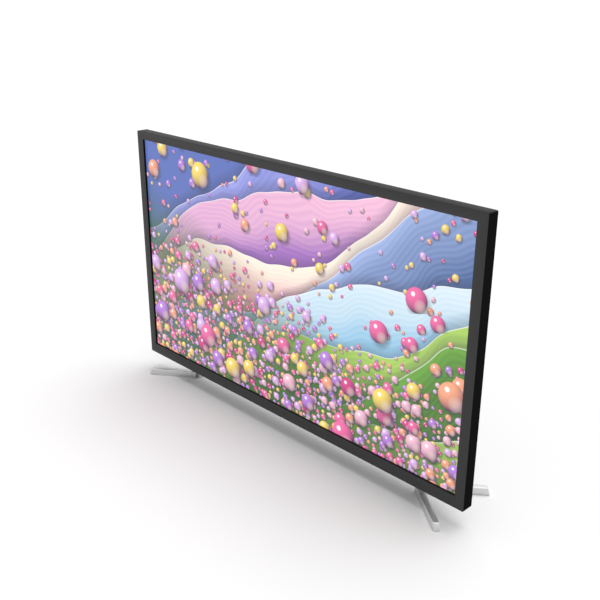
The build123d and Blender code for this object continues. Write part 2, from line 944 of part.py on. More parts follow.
def antenna_socket():
    """A block on the board with a round barrel that stands out into the bay."""
    z = socket_places()[5]
    middle = board_back + antenna_size[1] / 2
    socket = socket_body(antenna_size, z)
    socket += rod_x(-bay_wall_x - antenna_reach, -bay_wall_x + wall, middle, z, antenna_radius)
    return socket - rod_x(-bay_wall_x - antenna_reach - overrun, -bay_wall_x, middle, z,
                          antenna_bore_radius)


def inlet_middle():
    """Height of the mains inlet's middle."""
    return (inlet_bay_bottom + inlet_bay_top) / 2


def ac_inlet():
    """The mains inlet, with two pins in a rounded cavity."""
    wide, high, deep = inlet_size
    width, height, length = inlet_cavity
    z = inlet_middle()
    middle = board_back + high / 2
    turn = Pos(bay_wall_x - length, middle - front_setback, z) * Rot(0, 90, 0)
    outline = RectangleRounded(width, height, height * inlet_round_share)
    inlet = block(bay_wall_x - deep, bay_wall_x, board_back, board_back + high,
                  z - wide / 2, z + wide / 2)
    inlet -= turn * extrude(outline, length + overrun)
    for side in (-1, 1):
        inlet += rod_x(bay_wall_x - length - shell_thick, bay_wall_x - length + inlet_pin_length,
                       middle, z + side * inlet_pin_spacing / 2, inlet_pin_radius)
    return inlet


def socket_cutouts():
    """Openings in the bays' walls, a clearance larger than the sockets."""
    sizes = (hdmi_size, hdmi_size, usb_size, lan_size, audio_size, antenna_size)
    cuts = [socket_cut(size, z, -1) for size, z in zip(sizes, socket_places())]
    return cuts + [socket_cut(inlet_size, inlet_middle(), 1)]


def power_board():
    """The board that makes the low voltages, with its cable ports."""
    board = large_board(1)
    board += block(board_inner_x, board_inner_x + connector_height, board_back,
                   board_back + connector_depth, harness_height - connector_width / 2,
                   harness_height + connector_width / 2)
    z = board_bottom
    return board + block(lamp_port_x - connector_width / 2, lamp_port_x + connector_width / 2,
                         board_back, board_back + connector_depth, z, z + connector_height)


def power_transformer():
    """A ferrite core around a round winding."""
    width, height, length = transformer_size
    x = board_inner_x + tall_part_inset + width / 2
    z = board_top - tall_part_inset - length / 2
    core = block(x - width / 2, x + width / 2, board_back, board_back + height,
                 z - length / 2, z + length / 2)
    window = block(x - winding_radius, x + winding_radius, board_back - overrun,
                   board_back + height + overrun, z - length / 2 + core_leg,
                   z + length / 2 - core_leg)
    half = length / 2 - core_leg - gap
    winding = block(x - winding_radius + gap, x + winding_radius - gap, board_back,
                    board_back + height - gap, z - half, z + half)
    return group([core - window, winding])


def power_capacitors():
    """Large upright capacitors in a column near the board's outer edge."""
    x = board_outer_x - tall_part_inset - capacitor_radius
    top = board_top - tall_part_inset - capacitor_radius
    cans = []
    for index in range(capacitor_count):
        cans.append(rod_y(x, top - index * capacitor_pitch, board_back,
                          board_back + capacitor_height, capacitor_radius))
    return group(cans)


def power_heat_sinks():
    """Two upright aluminium plates that cool the power transistors."""
    width, height, thick = power_sink_size
    x = board_inner_x + tall_part_inset
    sinks = []
    for index in range(power_sink_count):
        z = board_bottom + tall_part_inset + connector_width + index * power_sink_pitch
        sinks.append(block(x, x + width, board_back, board_back + height, z, z + thick))
    return group(sinks)


def wifi_points():
    """Posts under the wireless board, as x and z."""
    inset = wifi_width / 2
    return [(wifi_x, wifi_bottom + inset / 2), (wifi_x, wifi_bottom + wifi_height - inset / 2)]


def wifi_module():
    """A small wireless board with a flat shield can and a cable port."""
    front = pan_back + timing_stand
    half = wifi_width / 2
    board = block(wifi_x - half, wifi_x + half, front, front + board_thick, wifi_bottom,
                  wifi_bottom + wifi_height)
    back = front + board_thick
    can = half - wall
    top = wifi_bottom + wifi_height
    board += block(wifi_x - can, wifi_x + can, back, back + chip_height, top - wifi_height / 2,
                   top - wall)
    port = connector_width / 2
    return board + block(wifi_x - port, wifi_x + port, back, back + connector_depth, wifi_bottom,
                         wifi_bottom + connector_height)


def ir_lens():
    """The dark window of the remote sensor, flush with the underside of the bezel."""
    half = lens_length / 2
    return block(sensor_x - half, sensor_x + half, lens_front_depth, lens_back_depth, body_bottom,
                 body_bottom + lens_stand)


def ir_board():
    """The remote sensor's board, which lies on its window between two ribs."""
    half = lens_length / 2
    low = body_bottom + lens_stand
    board = block(sensor_x - half, sensor_x + half, lens_front_depth, lens_back_depth, low,
                  low + board_thick)
    chip = sensor_chip_size / 2
    middle = (lens_front_depth + lens_back_depth) / 2
    return board + block(sensor_x - chip, sensor_x + chip, middle - chip, middle + chip,
                         low + board_thick, low + board_thick + chip_height)


def wall_bracket():
    """A steel hat section from the chassis to the back, which carries the right wall mount nuts."""
    x = mount_spacing / 2
    z0 = mount_height - mount_spacing / 2 - bracket_overhang
    z1 = mount_height + mount_spacing / 2 + bracket_overhang
    half, steel = bracket_half_width, bracket_steel
    back = cover_inside - gap
    rail = block(x - half, x + half, pan_back, back, z0, z1)
    rail -= block(x - half + steel, x + half - steel, pan_back - overrun, back - steel,
                  z0 - overrun, z1 + overrun)
    foot = half + bracket_flange
    rail += block(x - foot, x - half + steel, pan_back, pan_back + steel, z0, z1)
    rail += block(x + half - steel, x + foot, pan_back, pan_back + steel, z0, z1)
    for z in (mount_height - mount_spacing / 2, mount_height + mount_spacing / 2):
        rail -= rod_y(x, z, back - steel - overrun, back + overrun, nut_radius)
    return rail


def wall_mount_nuts():
    """Long M8 nuts, pressed into the brackets and flush with the back."""
    nuts = []
    for x, z in mount_points():
        nut = rod_y(x, z, body_depth - nut_length, body_depth, nut_radius)
        collar_front = cover_inside - gap - bracket_steel
        nut += rod_y(x, z, collar_front - nut_collar, collar_front, nut_radius + nut_collar)
        nuts.append(nut - rod_y(x, z, body_depth - nut_length - overrun, body_depth + overrun,
                                mount_bore_radius))
    return group(nuts)


def speaker_box():
    """The closed box of the right loudspeaker, open below for its driver."""
    box = block(speaker_inner_x, speaker_outer_x, speaker_front_depth, speaker_back_depth,
                speaker_bottom, speaker_top)
    box -= block(speaker_inner_x + speaker_wall, speaker_outer_x - speaker_wall,
                 speaker_front_depth + speaker_wall, speaker_back_depth - speaker_wall,
                 speaker_bottom + speaker_wall, speaker_top - speaker_wall)
    box -= stadium(driver_length, driver_depth, speaker_bottom - overrun,
                   speaker_bottom + speaker_wall + overrun)
    middle = (speaker_inner_x + speaker_outer_x) / 2
    tab = speaker_tab / 2
    for x in (middle - driver_length / 2 - tab, middle + driver_length / 2 + tab):
        box += block(x - tab, x + tab, pan_back, speaker_front_depth + speaker_wall,
                     speaker_top - speaker_tab_drop, speaker_top + speaker_tab_rise)
    return box


def stadium(length, depth, z0, z1):
    """An oblong with round ends, at the right speaker, between two heights."""
    middle_x = (speaker_inner_x + speaker_outer_x) / 2
    middle_depth = (speaker_front_depth + speaker_back_depth) / 2
    sketch = RectangleRounded(length, depth, depth * oblong_round_share)
    return Pos(middle_x, middle_depth - front_setback, z0) * extrude(sketch, z1 - z0)


def speaker_driver():
    """The frame and magnet of the right driver, which fires down through the grille."""
    length, depth = driver_length - 2 * gap, driver_depth - 2 * gap
    rim = stadium(length, depth, speaker_bottom, speaker_bottom + basket_height)
    rim -= stadium(length - 2 * driver_flange, depth - 2 * driver_flange,
                   speaker_bottom - overrun, speaker_bottom + basket_height - basket_wall)
    top = speaker_bottom + basket_height
    middle_x = (speaker_inner_x + speaker_outer_x) / 2
    middle_depth = (speaker_front_depth + speaker_back_depth) / 2
    rim -= rod_z(middle_x, middle_depth, top - basket_wall - overrun, top + overrun,
                 coil_radius + gap)
    magnet = rod_z(middle_x, middle_depth, top, top + magnet_height, magnet_radius)
    magnet -= rod_z(middle_x, middle_depth, top - overrun, top + coil_room, coil_radius + gap)
    magnet += rod_z(middle_x, middle_depth, top - basket_wall, top + magnet_height,
                    coil_radius - coil_wall - gap)
    return rim + magnet


def speaker_cone():
    """The moving cone of the right driver, with its coil in the magnet's gap."""
    low = speaker_bottom + cone_travel_room
    inset = 2 * (driver_flange + 2 * gap)
    length, depth = driver_length - inset, driver_depth - inset
    outer = stadium(length, depth, low, low + cone_thick)
    middle_x = (speaker_inner_x + speaker_outer_x) / 2
    middle_depth = (speaker_front_depth + speaker_back_depth) / 2
    coil_top = speaker_bottom + basket_height + coil_room - cone_travel_room
    coil = rod_z(middle_x, middle_depth, low, coil_top, coil_radius)
    coil -= rod_z(middle_x, middle_depth, low + cone_thick, coil_top + overrun,
                  coil_radius - coil_wall)
    return outer + coil


def arm_outline(reach):
    """The front arm's outline from above, which ends that far past the toe's upper edge."""
    root = Vector(arm_root_x, -arm_root_y)
    toe = Vector(toe_x, -toe_y)
    along = (toe - root).normalized()
    out = Vector(along.Y, -along.X)
    tip = toe + along * reach
    side = tip + out * (toe_width / 2)
    points = [root - out * (arm_root_width / 2), root + out * (arm_root_width / 2),
              side - along * toe_bevel, side - out * toe_bevel, tip - out * (toe_width / 2)]
    return make_face(Polyline(*points, close=True))


def foot_arm():
    """The front arm of the right foot: a straight, tapering bar with a sloping, cornered toe."""
    arm = loft([Pos(0, 0, pad_proud) * arm_outline(toe_slope_run),
                Pos(0, 0, arm_top) * arm_outline(0)], ruled=True)
    return chamfer(arm.faces().sort_by(Axis.Z)[-1].edges(), arm_bevel)


def neck_profile():
    """Side view of the neck, as points of depth and height."""
    return [(front_setback - neck_foot_half_depth, pad_proud),
            (front_setback + neck_foot_half_depth, pad_proud),
            (front_setback + neck_foot_half_depth, arm_top),
            (neck_back_depth, neck_straight_z), (neck_back_depth, neck_top_z),
            (neck_front_depth, neck_top_z), (neck_front_depth, neck_straight_z),
            (front_setback - neck_foot_half_depth, arm_top)]


def pad_places():
    """Centres and turns of the rubber pads under the right foot."""
    turn = math.degrees(math.atan2(toe_y - arm_root_y, toe_x - arm_root_x))
    along = pad_length / 2 + toe_bevel
    x = toe_x - along * math.cos(math.radians(turn))
    y = toe_y - along * math.sin(math.radians(turn))
    return [(x, -y, -turn), (x, y, turn), (apex_x + neck_width / 2, 0, 90)]


def pads(side):
    """The three rubber pads under one foot."""
    shapes = []
    for x, y, turn in pad_places():
        pad = extrude(RectangleRounded(pad_length, pad_width, pad_width * pad_round_share),
                      pad_thick)
        pad = Pos(x, y, 0) * Rot(0, 0, turn) * pad
        shapes.append(mirrored(pad) if side < 0 else pad)
    return shapes


def foot():
    """The right foot: two arms and a neck in one casting, with seats for its pads."""
    arm = foot_arm()
    casting = arm + mirror(arm, about=Plane.XZ)
    casting += side_profile(neck_profile(), apex_x, apex_x + neck_width)
    x = apex_x + neck_width / 2
    for z in foot_screw_heights:
        casting -= rod_y(x, z, neck_front_depth - overrun, neck_back_depth + overrun,
                         foot_screw_radius + gap)
    return casting - pads(1)


def foot_bracket():
    """The steel seat on the chassis to which the right foot is screwed."""
    x0, x1 = apex_x - gap, apex_x + neck_width + gap
    steel = bracket_steel
    back = neck_front_depth - gap
    seat = block(x0, x1, pan_back, back, foot_bracket_bottom, foot_bracket_top)
    seat -= block(x0 + steel, x1 - steel, pan_back - overrun, back - steel,
                  foot_bracket_bottom - overrun, foot_bracket_top + overrun)
    for inner, outer in ((x0 + steel, x0 - foot_bracket_flange),
                         (x1 - steel, x1 + foot_bracket_flange)):
        seat += block(min(inner, outer), max(inner, outer), pan_back, pan_back + steel,
                      foot_bracket_bottom, foot_bracket_tail)
    x = apex_x + neck_width / 2
    for z in foot_screw_heights:
        seat -= rod_y(x, z, back - steel - overrun, back + overrun, foot_screw_radius)
    return seat


def foot_screws():
    """Screws from the back through each neck into its bracket."""
    screws = []
    for sign in (-1, 1):
        x = sign * (apex_x + neck_width / 2)
        for z in foot_screw_heights:
            tip = neck_front_depth - gap - bracket_steel - overrun
            shank = rod_y(x, z, tip, neck_back_depth, foot_screw_radius - fit)
            screws.append(shank + rod_y(x, z, neck_back_depth, body_depth - gap,
                                        foot_head_radius))
    return group(screws)


def jog_rod(front, back, radius):
    """A round bar on the jog button's axis."""
    return rod_y(jog_x, jog_z, front, back, radius)


def jog_cradle():
    """The cup that holds the jog button, seated under the web of the rear cover."""
    cup = jog_rod(cradle_bottom_depth, jog_web_front_depth, cradle_radius)
    cup += jog_rod(jog_web_front_depth - cradle_flange, jog_web_front_depth,
                   jog_bore_radius - gap)
    cup -= jog_rod(cradle_bottom_depth + cradle_bottom_thick, cradle_lip_depth,
                   cradle_bore_radius)
    cup -= jog_rod(cradle_lip_depth - gap, jog_web_front_depth + overrun, cradle_lip_radius)
    return cup - jog_rod(cradle_bottom_depth - overrun, cradle_lip_depth, switch_radius + gap)


def jog_board():
    """The small board under the cup, with the five way switch in its middle."""
    front = cradle_bottom_depth - jog_board_thick
    half = jog_board_width / 2
    board = block(jog_x - half, jog_x + half, front, cradle_bottom_depth, jog_z - half,
                  wire_lane_z + half / 2)
    board += jog_rod(cradle_bottom_depth, cradle_bottom_depth + switch_height, switch_radius)
    board += jog_rod(cradle_bottom_depth, switch_tip_depth, switch_tip_radius)
    port = jog_port_width / 2
    return board + block(jog_x - port, jog_x + port, front - jog_port_depth, front,
                         wire_lane_z - port, wire_lane_z + port)


def jog_plunger():
    """The disc that slides when the button is pressed, with two ears for the gimbal."""
    back = cradle_lip_depth - gap
    disc = jog_rod(back - plunger_thick, back, cradle_bore_radius - gap)
    for side in (-1, 1):
        x0, x1 = sorted((jog_x + side * ear_inner, jog_x + side * ear_outer))
        disc += block(x0, x1, back - plunger_thick / 2, jog_pivot_depth + ear_half_width,
                      jog_z - ear_half_width, jog_z + ear_half_width)
    disc -= jog_rod(back - plunger_thick - overrun, back, plunger_hole_radius)
    return disc - rod_x(jog_x - ear_outer - overrun, jog_x + ear_outer + overrun,
                        jog_pivot_depth, jog_z, trunnion_radius + trunnion_clearance)


def jog_gimbal():
    """The ring that tilts up and down on the plunger's ears."""
    front = jog_pivot_depth - gimbal_thick / 2
    ring = jog_rod(front, front + gimbal_thick, gimbal_outer_radius)
    reach = ear_outer - fit
    ring += rod_x(jog_x - reach, jog_x + reach, jog_pivot_depth, jog_z, trunnion_radius)
    ring -= jog_rod(front - overrun, front + gimbal_thick + overrun, gimbal_inner_radius)
    return ring - rod_z(jog_x, jog_pivot_depth, jog_z - gimbal_outer_radius - overrun,
                        jog_z + gimbal_outer_radius + overrun,
                        trunnion_radius + trunnion_clearance)


def jog_knob():
    """The thumb button on its stem, which tilts left and right in the gimbal."""
    knob = jog_rod(stem_tip_depth, cap_front_depth + cap_round, stem_radius)
    reach = gimbal_outer_radius - fit
    knob += rod_z(jog_x, jog_pivot_depth, jog_z - reach, jog_z + reach, trunnion_radius)
    cap = jog_rod(cap_front_depth, cap_back_depth, cap_radius)
    cap = fillet(cap.faces().sort_by(Axis.Y)[-1].edges(), cap_round)
    centre = Pos(jog_x, cap_back_depth - cap_dimple_depth + cap_dimple_radius - front_setback,
                 jog_z)
    return knob + (cap - centre * Sphere(cap_dimple_radius))


def wire(points, radius=wire_radius):
    """A lead along (x, depth, z) points, straight between round bends."""
    path = FilletPolyline([(x, depth - front_setback, z) for x, depth, z in points],
                          radius=wire_bend)
    start = Plane(origin=path @ 0, z_dir=path % 0)
    return sweep(start * Circle(radius), path=path)


def lanes():
    """Heights of the three leads that run side by side across the chassis."""
    return [wire_lane_z - index * wire_lane_pitch for index in range(wire_lane_count)]


def lane_depths():
    """Two leads pass in front of the video ribbon, and the speaker's lead behind it."""
    low = pan_back + wire_stand + wire_radius
    return [low, low, ribbon_back + gap + wire_radius]


def to_main_board(place, lane_z, lane_depth, side=1):
    """The last points of a lead that ends in the main board's lower port."""
    x = -signal_port_x + (place - (wire_end_count - 1) / 2) * wire_end_pitch
    return [(x + side * wire_swing, lane_depth, lane_z), (x, port_depth, lane_z),
            (x, port_depth, board_bottom)]


def button_lead():
    """From the jog button's board to the main board."""
    lane, depth = lanes()[0], lane_depths()[0]
    port_x = jog_x - jog_port_width / 2
    start_depth = cradle_bottom_depth - jog_board_thick - jog_port_depth / 2
    turn_x = port_x - jog_wire_reach
    return wire([(port_x, start_depth, lane), (turn_x, start_depth, lane),
                 (turn_x - jog_wire_slope_run, depth, lane)] + to_main_board(2, lane, depth))


def sensor_lead():
    """From the remote sensor, inside the rim, and up the chassis to the main board."""
    lane, depth = lanes()[1], lane_depths()[1]
    lens_end = sensor_x + lens_length / 2
    turn_x = lens_end + sensor_wire_reach
    lens_depth = (lens_front_depth + lens_back_depth) / 2
    rim_depth = edge_depth - wall - 2 * wire_radius - gap
    low = body_bottom + lens_stand + wire_radius
    return wire([(lens_end, lens_depth, low), (turn_x, lens_depth, low), (turn_x, rim_depth, low),
                 (turn_x, rim_depth, sensor_climb_z), (turn_x, depth, sensor_climb_z + sensor_climb),
                 (turn_x, depth, lane)] + to_main_board(3, lane, depth))


def speaker_lead(side, place):
    """From one speaker's box to the main board."""
    lane, depth = lanes()[2], lane_depths()[2]
    x = side * speaker_wire_x
    return wire([(x, depth, speaker_top), (x, depth, lane)]
                + to_main_board(place, lane, depth, side))


def lamp_lead():
    """From the power board to the chassis, for the LED bars."""
    low = speaker_top + wall
    return wire([(lamp_port_x, port_depth, board_bottom), (lamp_port_x, port_depth, low),
                 (lamp_port_x, pan_back, low)])


def wifi_lead():
    """From the wireless board to the top of the main board."""
    start_depth = pan_back + timing_stand + board_thick + connector_depth / 2
    return wire([(wifi_x, start_depth, wifi_bottom), (wifi_x, start_depth, wifi_wire_z),
                 (-signal_port_x, port_depth, wifi_wire_z),
                 (-signal_port_x, port_depth, board_top)])


def harness_lead(index):
    """One of the leads between the power board and the main board."""
    z = harness_height + (index - (harness_wires - 1) / 2) * harness_pitch
    run, dip, stub = board_inner_x - harness_run, port_depth - harness_dip, harness_stub
    right = [(board_inner_x, port_depth, z), (board_inner_x - stub, port_depth, z), (run, dip, z)]
    return wire(right + [(-x, depth, z) for x, depth, z in reversed(right)])


def wiring_loom():
    """The round leads inside the set."""
    leads = [button_lead(), sensor_lead(), speaker_lead(1, 1), speaker_lead(-1, 0), lamp_lead(),
             wifi_lead()]
    return group(leads + [harness_lead(index) for index in range(harness_wires)])


def cable_clips():
    """Plastic clips on the chassis, which hold the three leads side by side."""
    heights, depths = lanes(), lane_depths()
    low, high = heights[-1] - wire_radius - clip_wall, heights[0] + wire_radius + clip_wall
    clips = []
    for x in clip_places:
        x0, x1 = x - clip_width / 2, x + clip_width / 2
        clip = block(x0, x1, pan_back, max(depths) + wire_radius + clip_wall, low, high)
        for z, depth in zip(heights, depths):
            clip -= rod_x(x0 - overrun, x1 + overrun, depth, z, wire_radius + gap)
        clips.append(clip)
    return group(clips)


right_speaker_pieces = {
    "speaker_box": speaker_box(),
    "speaker_driver": speaker_driver(),
    "speaker_cone": speaker_cone(),
}
right_foot, right_foot_bracket, right_wall_bracket = foot(), foot_bracket(), wall_bracket()

pieces = {
    "front_bezel": front_bezel(),
    "rear_cover": rear_cover(),
    "rear_cover_screws": cover_screws(),
    "lcd_cell": lcd_cell(),
    "mid_frame": mid_frame(),
    "module_screws": module_screws(),
    "prism_sheet": film(ledge_back, prism_back, film_margin),
    "diffuser_sheet": film(prism_back, diffuser_back, film_margin),
    "diffuser_plate": film(diffuser_back, plate_back, plate_margin),
    "diffuser_supports": diffuser_supports(),
    "reflector_sheet": reflector_sheet(),
    "led_lenses": led_lenses(),
    "back_chassis": back_chassis(),
    "source_board_left": source_board(-1),
    "source_board_right": source_board(1),
    "source_films": source_films(),
    "ribbon_cables": ribbon_cables(),
    "timing_board": timing_board(),
    "main_board": main_board(),
    "heat_sink": heat_sink(),
    "hdmi_sockets": hdmi_sockets(),
    "usb_socket": usb_socket(),
    "lan_socket": lan_socket(),
    "audio_socket": audio_socket(),
    "antenna_socket": antenna_socket(),
    "power_board": power_board(),
    "power_transformer": power_transformer(),
    "power_capacitors": power_capacitors(),
    "power_heat_sinks": power_heat_sinks(),
    "ac_inlet": ac_inlet(),
    "board_screws": board_screws(),
    "wifi_module": wifi_module(),
    "ir_lens": ir_lens(),
    "ir_board": ir_board(),
    "wiring_loom": wiring_loom(),
    "cable_clips": cable_clips(),
    "wall_bracket_right": right_wall_bracket,
    "wall_bracket_left": mirrored(right_wall_bracket),
    "wall_mount_nuts": wall_mount_nuts(),
    "jog_cradle": jog_cradle(),
    "jog_board": jog_board(),
    "jog_plunger": jog_plunger(),
    "jog_gimbal": jog_gimbal(),
    "jog_knob": jog_knob(),
    "foot_right": right_foot,
    "foot_left": mirrored(right_foot),
    "foot_bracket_right": right_foot_bracket,
    "foot_bracket_left": mirrored(right_foot_bracket),
    "foot_screws": foot_screws(),
    "foot_pads": group(pads(1) + pads(-1)),
}
for row in range(led_rows):
    pieces[f"led_bar_{row + 1}"] = led_bar(row)
for name, piece in right_speaker_pieces.items():
    pieces[f"{name}_right"] = piece
    pieces[f"{name}_left"] = mirrored(piece)

os.makedirs("parts", exist_ok=True)
for name, piece in pieces.items():
    export_step(piece, f"parts/{name}.step")
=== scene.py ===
import json
import math

import bpy
from mathutils import Matrix, Vector

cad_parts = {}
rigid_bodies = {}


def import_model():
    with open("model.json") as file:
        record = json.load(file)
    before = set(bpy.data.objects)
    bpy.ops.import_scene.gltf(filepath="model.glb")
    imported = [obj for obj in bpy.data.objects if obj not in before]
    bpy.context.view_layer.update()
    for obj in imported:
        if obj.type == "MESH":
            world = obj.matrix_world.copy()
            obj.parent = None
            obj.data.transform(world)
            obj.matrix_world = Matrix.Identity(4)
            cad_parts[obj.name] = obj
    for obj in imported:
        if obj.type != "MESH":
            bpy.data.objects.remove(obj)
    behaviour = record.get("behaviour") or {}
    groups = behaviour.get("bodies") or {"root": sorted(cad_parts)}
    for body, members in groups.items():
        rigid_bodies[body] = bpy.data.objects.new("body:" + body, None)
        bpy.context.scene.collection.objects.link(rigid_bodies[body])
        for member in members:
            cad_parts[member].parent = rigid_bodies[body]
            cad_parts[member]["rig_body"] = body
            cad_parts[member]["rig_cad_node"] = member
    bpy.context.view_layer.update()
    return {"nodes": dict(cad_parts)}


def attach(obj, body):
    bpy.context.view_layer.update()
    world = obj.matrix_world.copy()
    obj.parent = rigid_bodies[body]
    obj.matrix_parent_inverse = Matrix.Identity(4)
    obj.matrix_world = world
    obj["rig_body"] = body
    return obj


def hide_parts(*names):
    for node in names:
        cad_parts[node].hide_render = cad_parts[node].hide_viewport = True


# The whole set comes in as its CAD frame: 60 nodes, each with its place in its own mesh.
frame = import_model()
nodes = frame["nodes"]
bpy.ops.object.select_all(action="DESELECT")


# The screen: two sheets of glass with liquid crystal between them and a matt film in front.
# It shows a made-up pattern of silk folds with glass beads on them, so the picture is light,
# not paint. A narrow black border runs round it.
class Value:
    """A socket in a material's nodes, which can stand in a sum as a number does."""

    def __init__(self, tree, socket=None):
        self.tree = tree
        self.socket = socket

    def node(self, kind, settings=None, sockets=None, output=0):
        """Adds any node: its settings first, then its sockets' values or links."""
        made = self.tree.nodes.new("ShaderNode" + kind)
        for name, setting in (settings or {}).items():
            if name == "stops":
                stops = made.color_ramp.elements
                while len(stops) < len(setting):
                    stops.new(0.5)
                for stop, (place, color) in zip(stops, setting):
                    stop.position = place
                    stop.color = (*color, 1)
            else:
                setattr(made, name, setting)
        for name, value in (sockets or {}).items():
            if isinstance(value, Value):
                self.tree.links.new(value.socket, made.inputs[name])
            else:
                made.inputs[name].default_value = value
        return Value(self.tree, made.outputs[output])

    def math(self, operation, *others):
        return self.node("Math", {"operation": operation}, dict(enumerate((self, *others))))

    def __add__(self, other):
        return self.math("ADD", other)

    __radd__ = __add__

    def __sub__(self, other):
        return self.math("SUBTRACT", other)

    def __rsub__(self, other):
        return self.node("Math", {"operation": "SUBTRACT"}, {0: other, 1: self})

    def __mul__(self, other):
        return self.math("MULTIPLY", other)

    __rmul__ = __mul__

    def __truediv__(self, other):
        return self.math("DIVIDE", other)

    def clamp(self):
        return self.node("Clamp", None, {"Value": self})

    def below(self, edge, soft):
        """1 where this value lies under the edge, 0 above it, with a soft step between."""
        return ((edge - self) / soft + 0.5).clamp()

    def tint(self, low, high):
        """A colour between two others, by this value from 0 to 1."""
        return self.node("Mix", {"data_type": "RGBA"}, {0: self, 6: low, 7: high}, 2)

    def measure(self, axis):
        """One measure of a place: X across the set, Y inwards or Z upwards."""
        return self.node("SeparateXYZ", None, {0: self}, axis)

    def channel(self, name):
        """The red, green or blue of a colour, as a number."""
        return self.node("SeparateColor", None, {0: self}, name)

    def noise(self, scale, detail, roughness=0.5):
        """Clouds over a place, of so many to the metre."""
        return self.node("TexNoise", None, {"Vector": self, "Scale": scale, "Detail": detail,
                                            "Roughness": roughness})

    def emboss(self, shader, strength, height):
        """Raises a surface by this value, up to a height in metres."""
        self.node("Bump", None, {"Height": self, "Strength": strength, "Distance": height}).into(
            shader, "Normal")

    def into(self, shader, socket):
        self.tree.links.new(self.socket, shader.inputs[socket])


def start_finish(name, constants=None):
    """A new material: its shader with constant values, and the place on the piece in metres."""
    material = bpy.data.materials.new(name)
    material.use_nodes = True
    shader = material.node_tree.nodes["Principled BSDF"]
    for socket, value in (constants or {}).items():
        shader.inputs[socket].default_value = value
    place = Value(material.node_tree).node("TexCoord", output="Object")
    return material, shader, place


def dress(material, *names):
    """Gives CAD nodes their finish."""
    for name in names:
        nodes[name].data.materials.clear()
        nodes[name].data.materials.append(material)


picture_half_width, picture_half_height = 0.4428, 0.24908
picture_middle_z = 0.31498
screen, screen_shader, place = start_finish("screen picture", {
    "Base Color": (0.012, 0.012, 0.014, 1), "Roughness": 0.42, "Emission Strength": 1.0})
across, upward = place.measure("X"), place.measure("Z")
u = across / picture_half_height
v = (upward - picture_middle_z) / picture_half_height

# The folds run aslant: one measure goes along them and the other over them.
slant = math.radians(24)
along = u * math.cos(slant) + v * math.sin(slant)
over = v * math.cos(slant) - u * math.sin(slant)
drift = u.node("CombineXYZ", None, {0: along, 1: over * 0.6}).noise(0.9, 2) - 0.5

# Each fold of cloth: where its crest lies, how far and how often the crest swings, where it
# starts, how deep its shading runs, and its light and dark colour.
folds = (
    (1.02, 0.16, 1.3, 0.4, 0.62, (0.40, 0.42, 0.92), (0.07, 0.11, 0.45)),
    (0.70, 0.20, 1.5, 2.1, 0.50, (0.98, 0.56, 0.74), (0.36, 0.15, 0.52)),
    (0.40, 0.18, 1.9, 3.7, 0.44, (1.00, 0.90, 0.76), (0.88, 0.40, 0.48)),
    (0.14, 0.20, 1.4, 5.2, 0.42, (0.42, 0.54, 0.90), (0.07, 0.14, 0.34)),
    (-0.16, 0.17, 1.8, 0.9, 0.36, (0.84, 0.94, 0.99), (0.30, 0.58, 0.80)),
    (-0.44, 0.18, 1.6, 2.8, 0.48, (0.42, 0.66, 0.12), (0.02, 0.12, 0.02)),
    (-0.86, 0.16, 2.1, 4.6, 0.62, (0.16, 0.42, 0.05), (0.005, 0.04, 0.01)),
    (-1.26, 0.14, 1.7, 1.2, 0.60, (0.50, 0.72, 0.16), (0.02, 0.12, 0.03)),
)
thread_waves, thread_drift, thread_depth = 130, 60, 0.12
sheen_waves, sheen_slant, sheen_depth = 11, 0.9, 0.28
fold_depth = 0.85
hem_width, hem_soft, hem_share = 0.006, 0.008, 0.7
cast_reach, cast_share = 0.1, 0.45
picture = over.clamp().tint((0.22, 0.3, 0.72, 1), (0.1, 0.16, 0.5, 1))
for crest, swing, waves, start, depth, light_color, dark_color in folds:
    edge = (along * waves + start).math("SINE") * swing + drift * 0.5 + crest
    below = edge - over
    threads = (below * thread_waves + drift * thread_drift).math("SINE") * 0.5 + 0.5
    sheen = (below * sheen_waves + along * sheen_slant + start).math("SINE") * 0.5 + 0.5
    shade = ((below / depth).clamp() * fold_depth + sheen * sheen_depth
             + threads * thread_depth - thread_depth).clamp()
    cloth = shade.tint((*light_color, 1), (*dark_color, 1))
    hem = below.math("ABSOLUTE").below(hem_width, hem_soft)
    cloth = (hem * hem_share).tint(cloth, (1.0, 0.97, 0.92, 1))
    cast = ((below + cast_reach) / cast_reach).clamp() * cast_share
    picture = cast.tint(picture, (0.03, 0.03, 0.08, 1))
    picture = below.math("GREATER_THAN", 0.0).tint(picture, cloth)

# Green dye deepens towards the lower left.
dye = ((0.08 - v - u * 0.35) * 1.7).clamp() * 0.82
picture = dye.tint(picture, (0.05, 0.15, 0.025, 1))

# Glass beads of five sizes drift across the folds, thick in the lower part and thin above.
# Each size: its cells to half the picture's height, a bead's radius in its cell, the share of
# the cells that hold one, and where the cells start.
beads = (
    (17.0, 0.37, 0.88, 2.0), (11.0, 0.37, 0.92, 5.0), (7.2, 0.37, 0.86, 8.0),
    (4.6, 0.37, 0.66, 11.0), (3.0, 0.36, 0.42, 14.0),
)
bead_stops = [(0.0, (0.92, 0.16, 0.40)), (0.16, (0.52, 0.24, 0.78)), (0.32, (1.0, 0.42, 0.24)),
              (0.46, (0.80, 0.50, 0.92)), (0.6, (0.98, 0.74, 0.14)), (0.72, (0.72, 0.06, 0.28)),
              (0.84, (0.96, 0.56, 0.70))]
smallest_bead, bead_spread = 0.65, 0.35


def away_from(side, rise, spot_side, spot_rise):
    """The square of the distance from one spot on a bead, in its radii."""
    side, rise = side - spot_side, rise - spot_rise
    return side * side + rise * rise


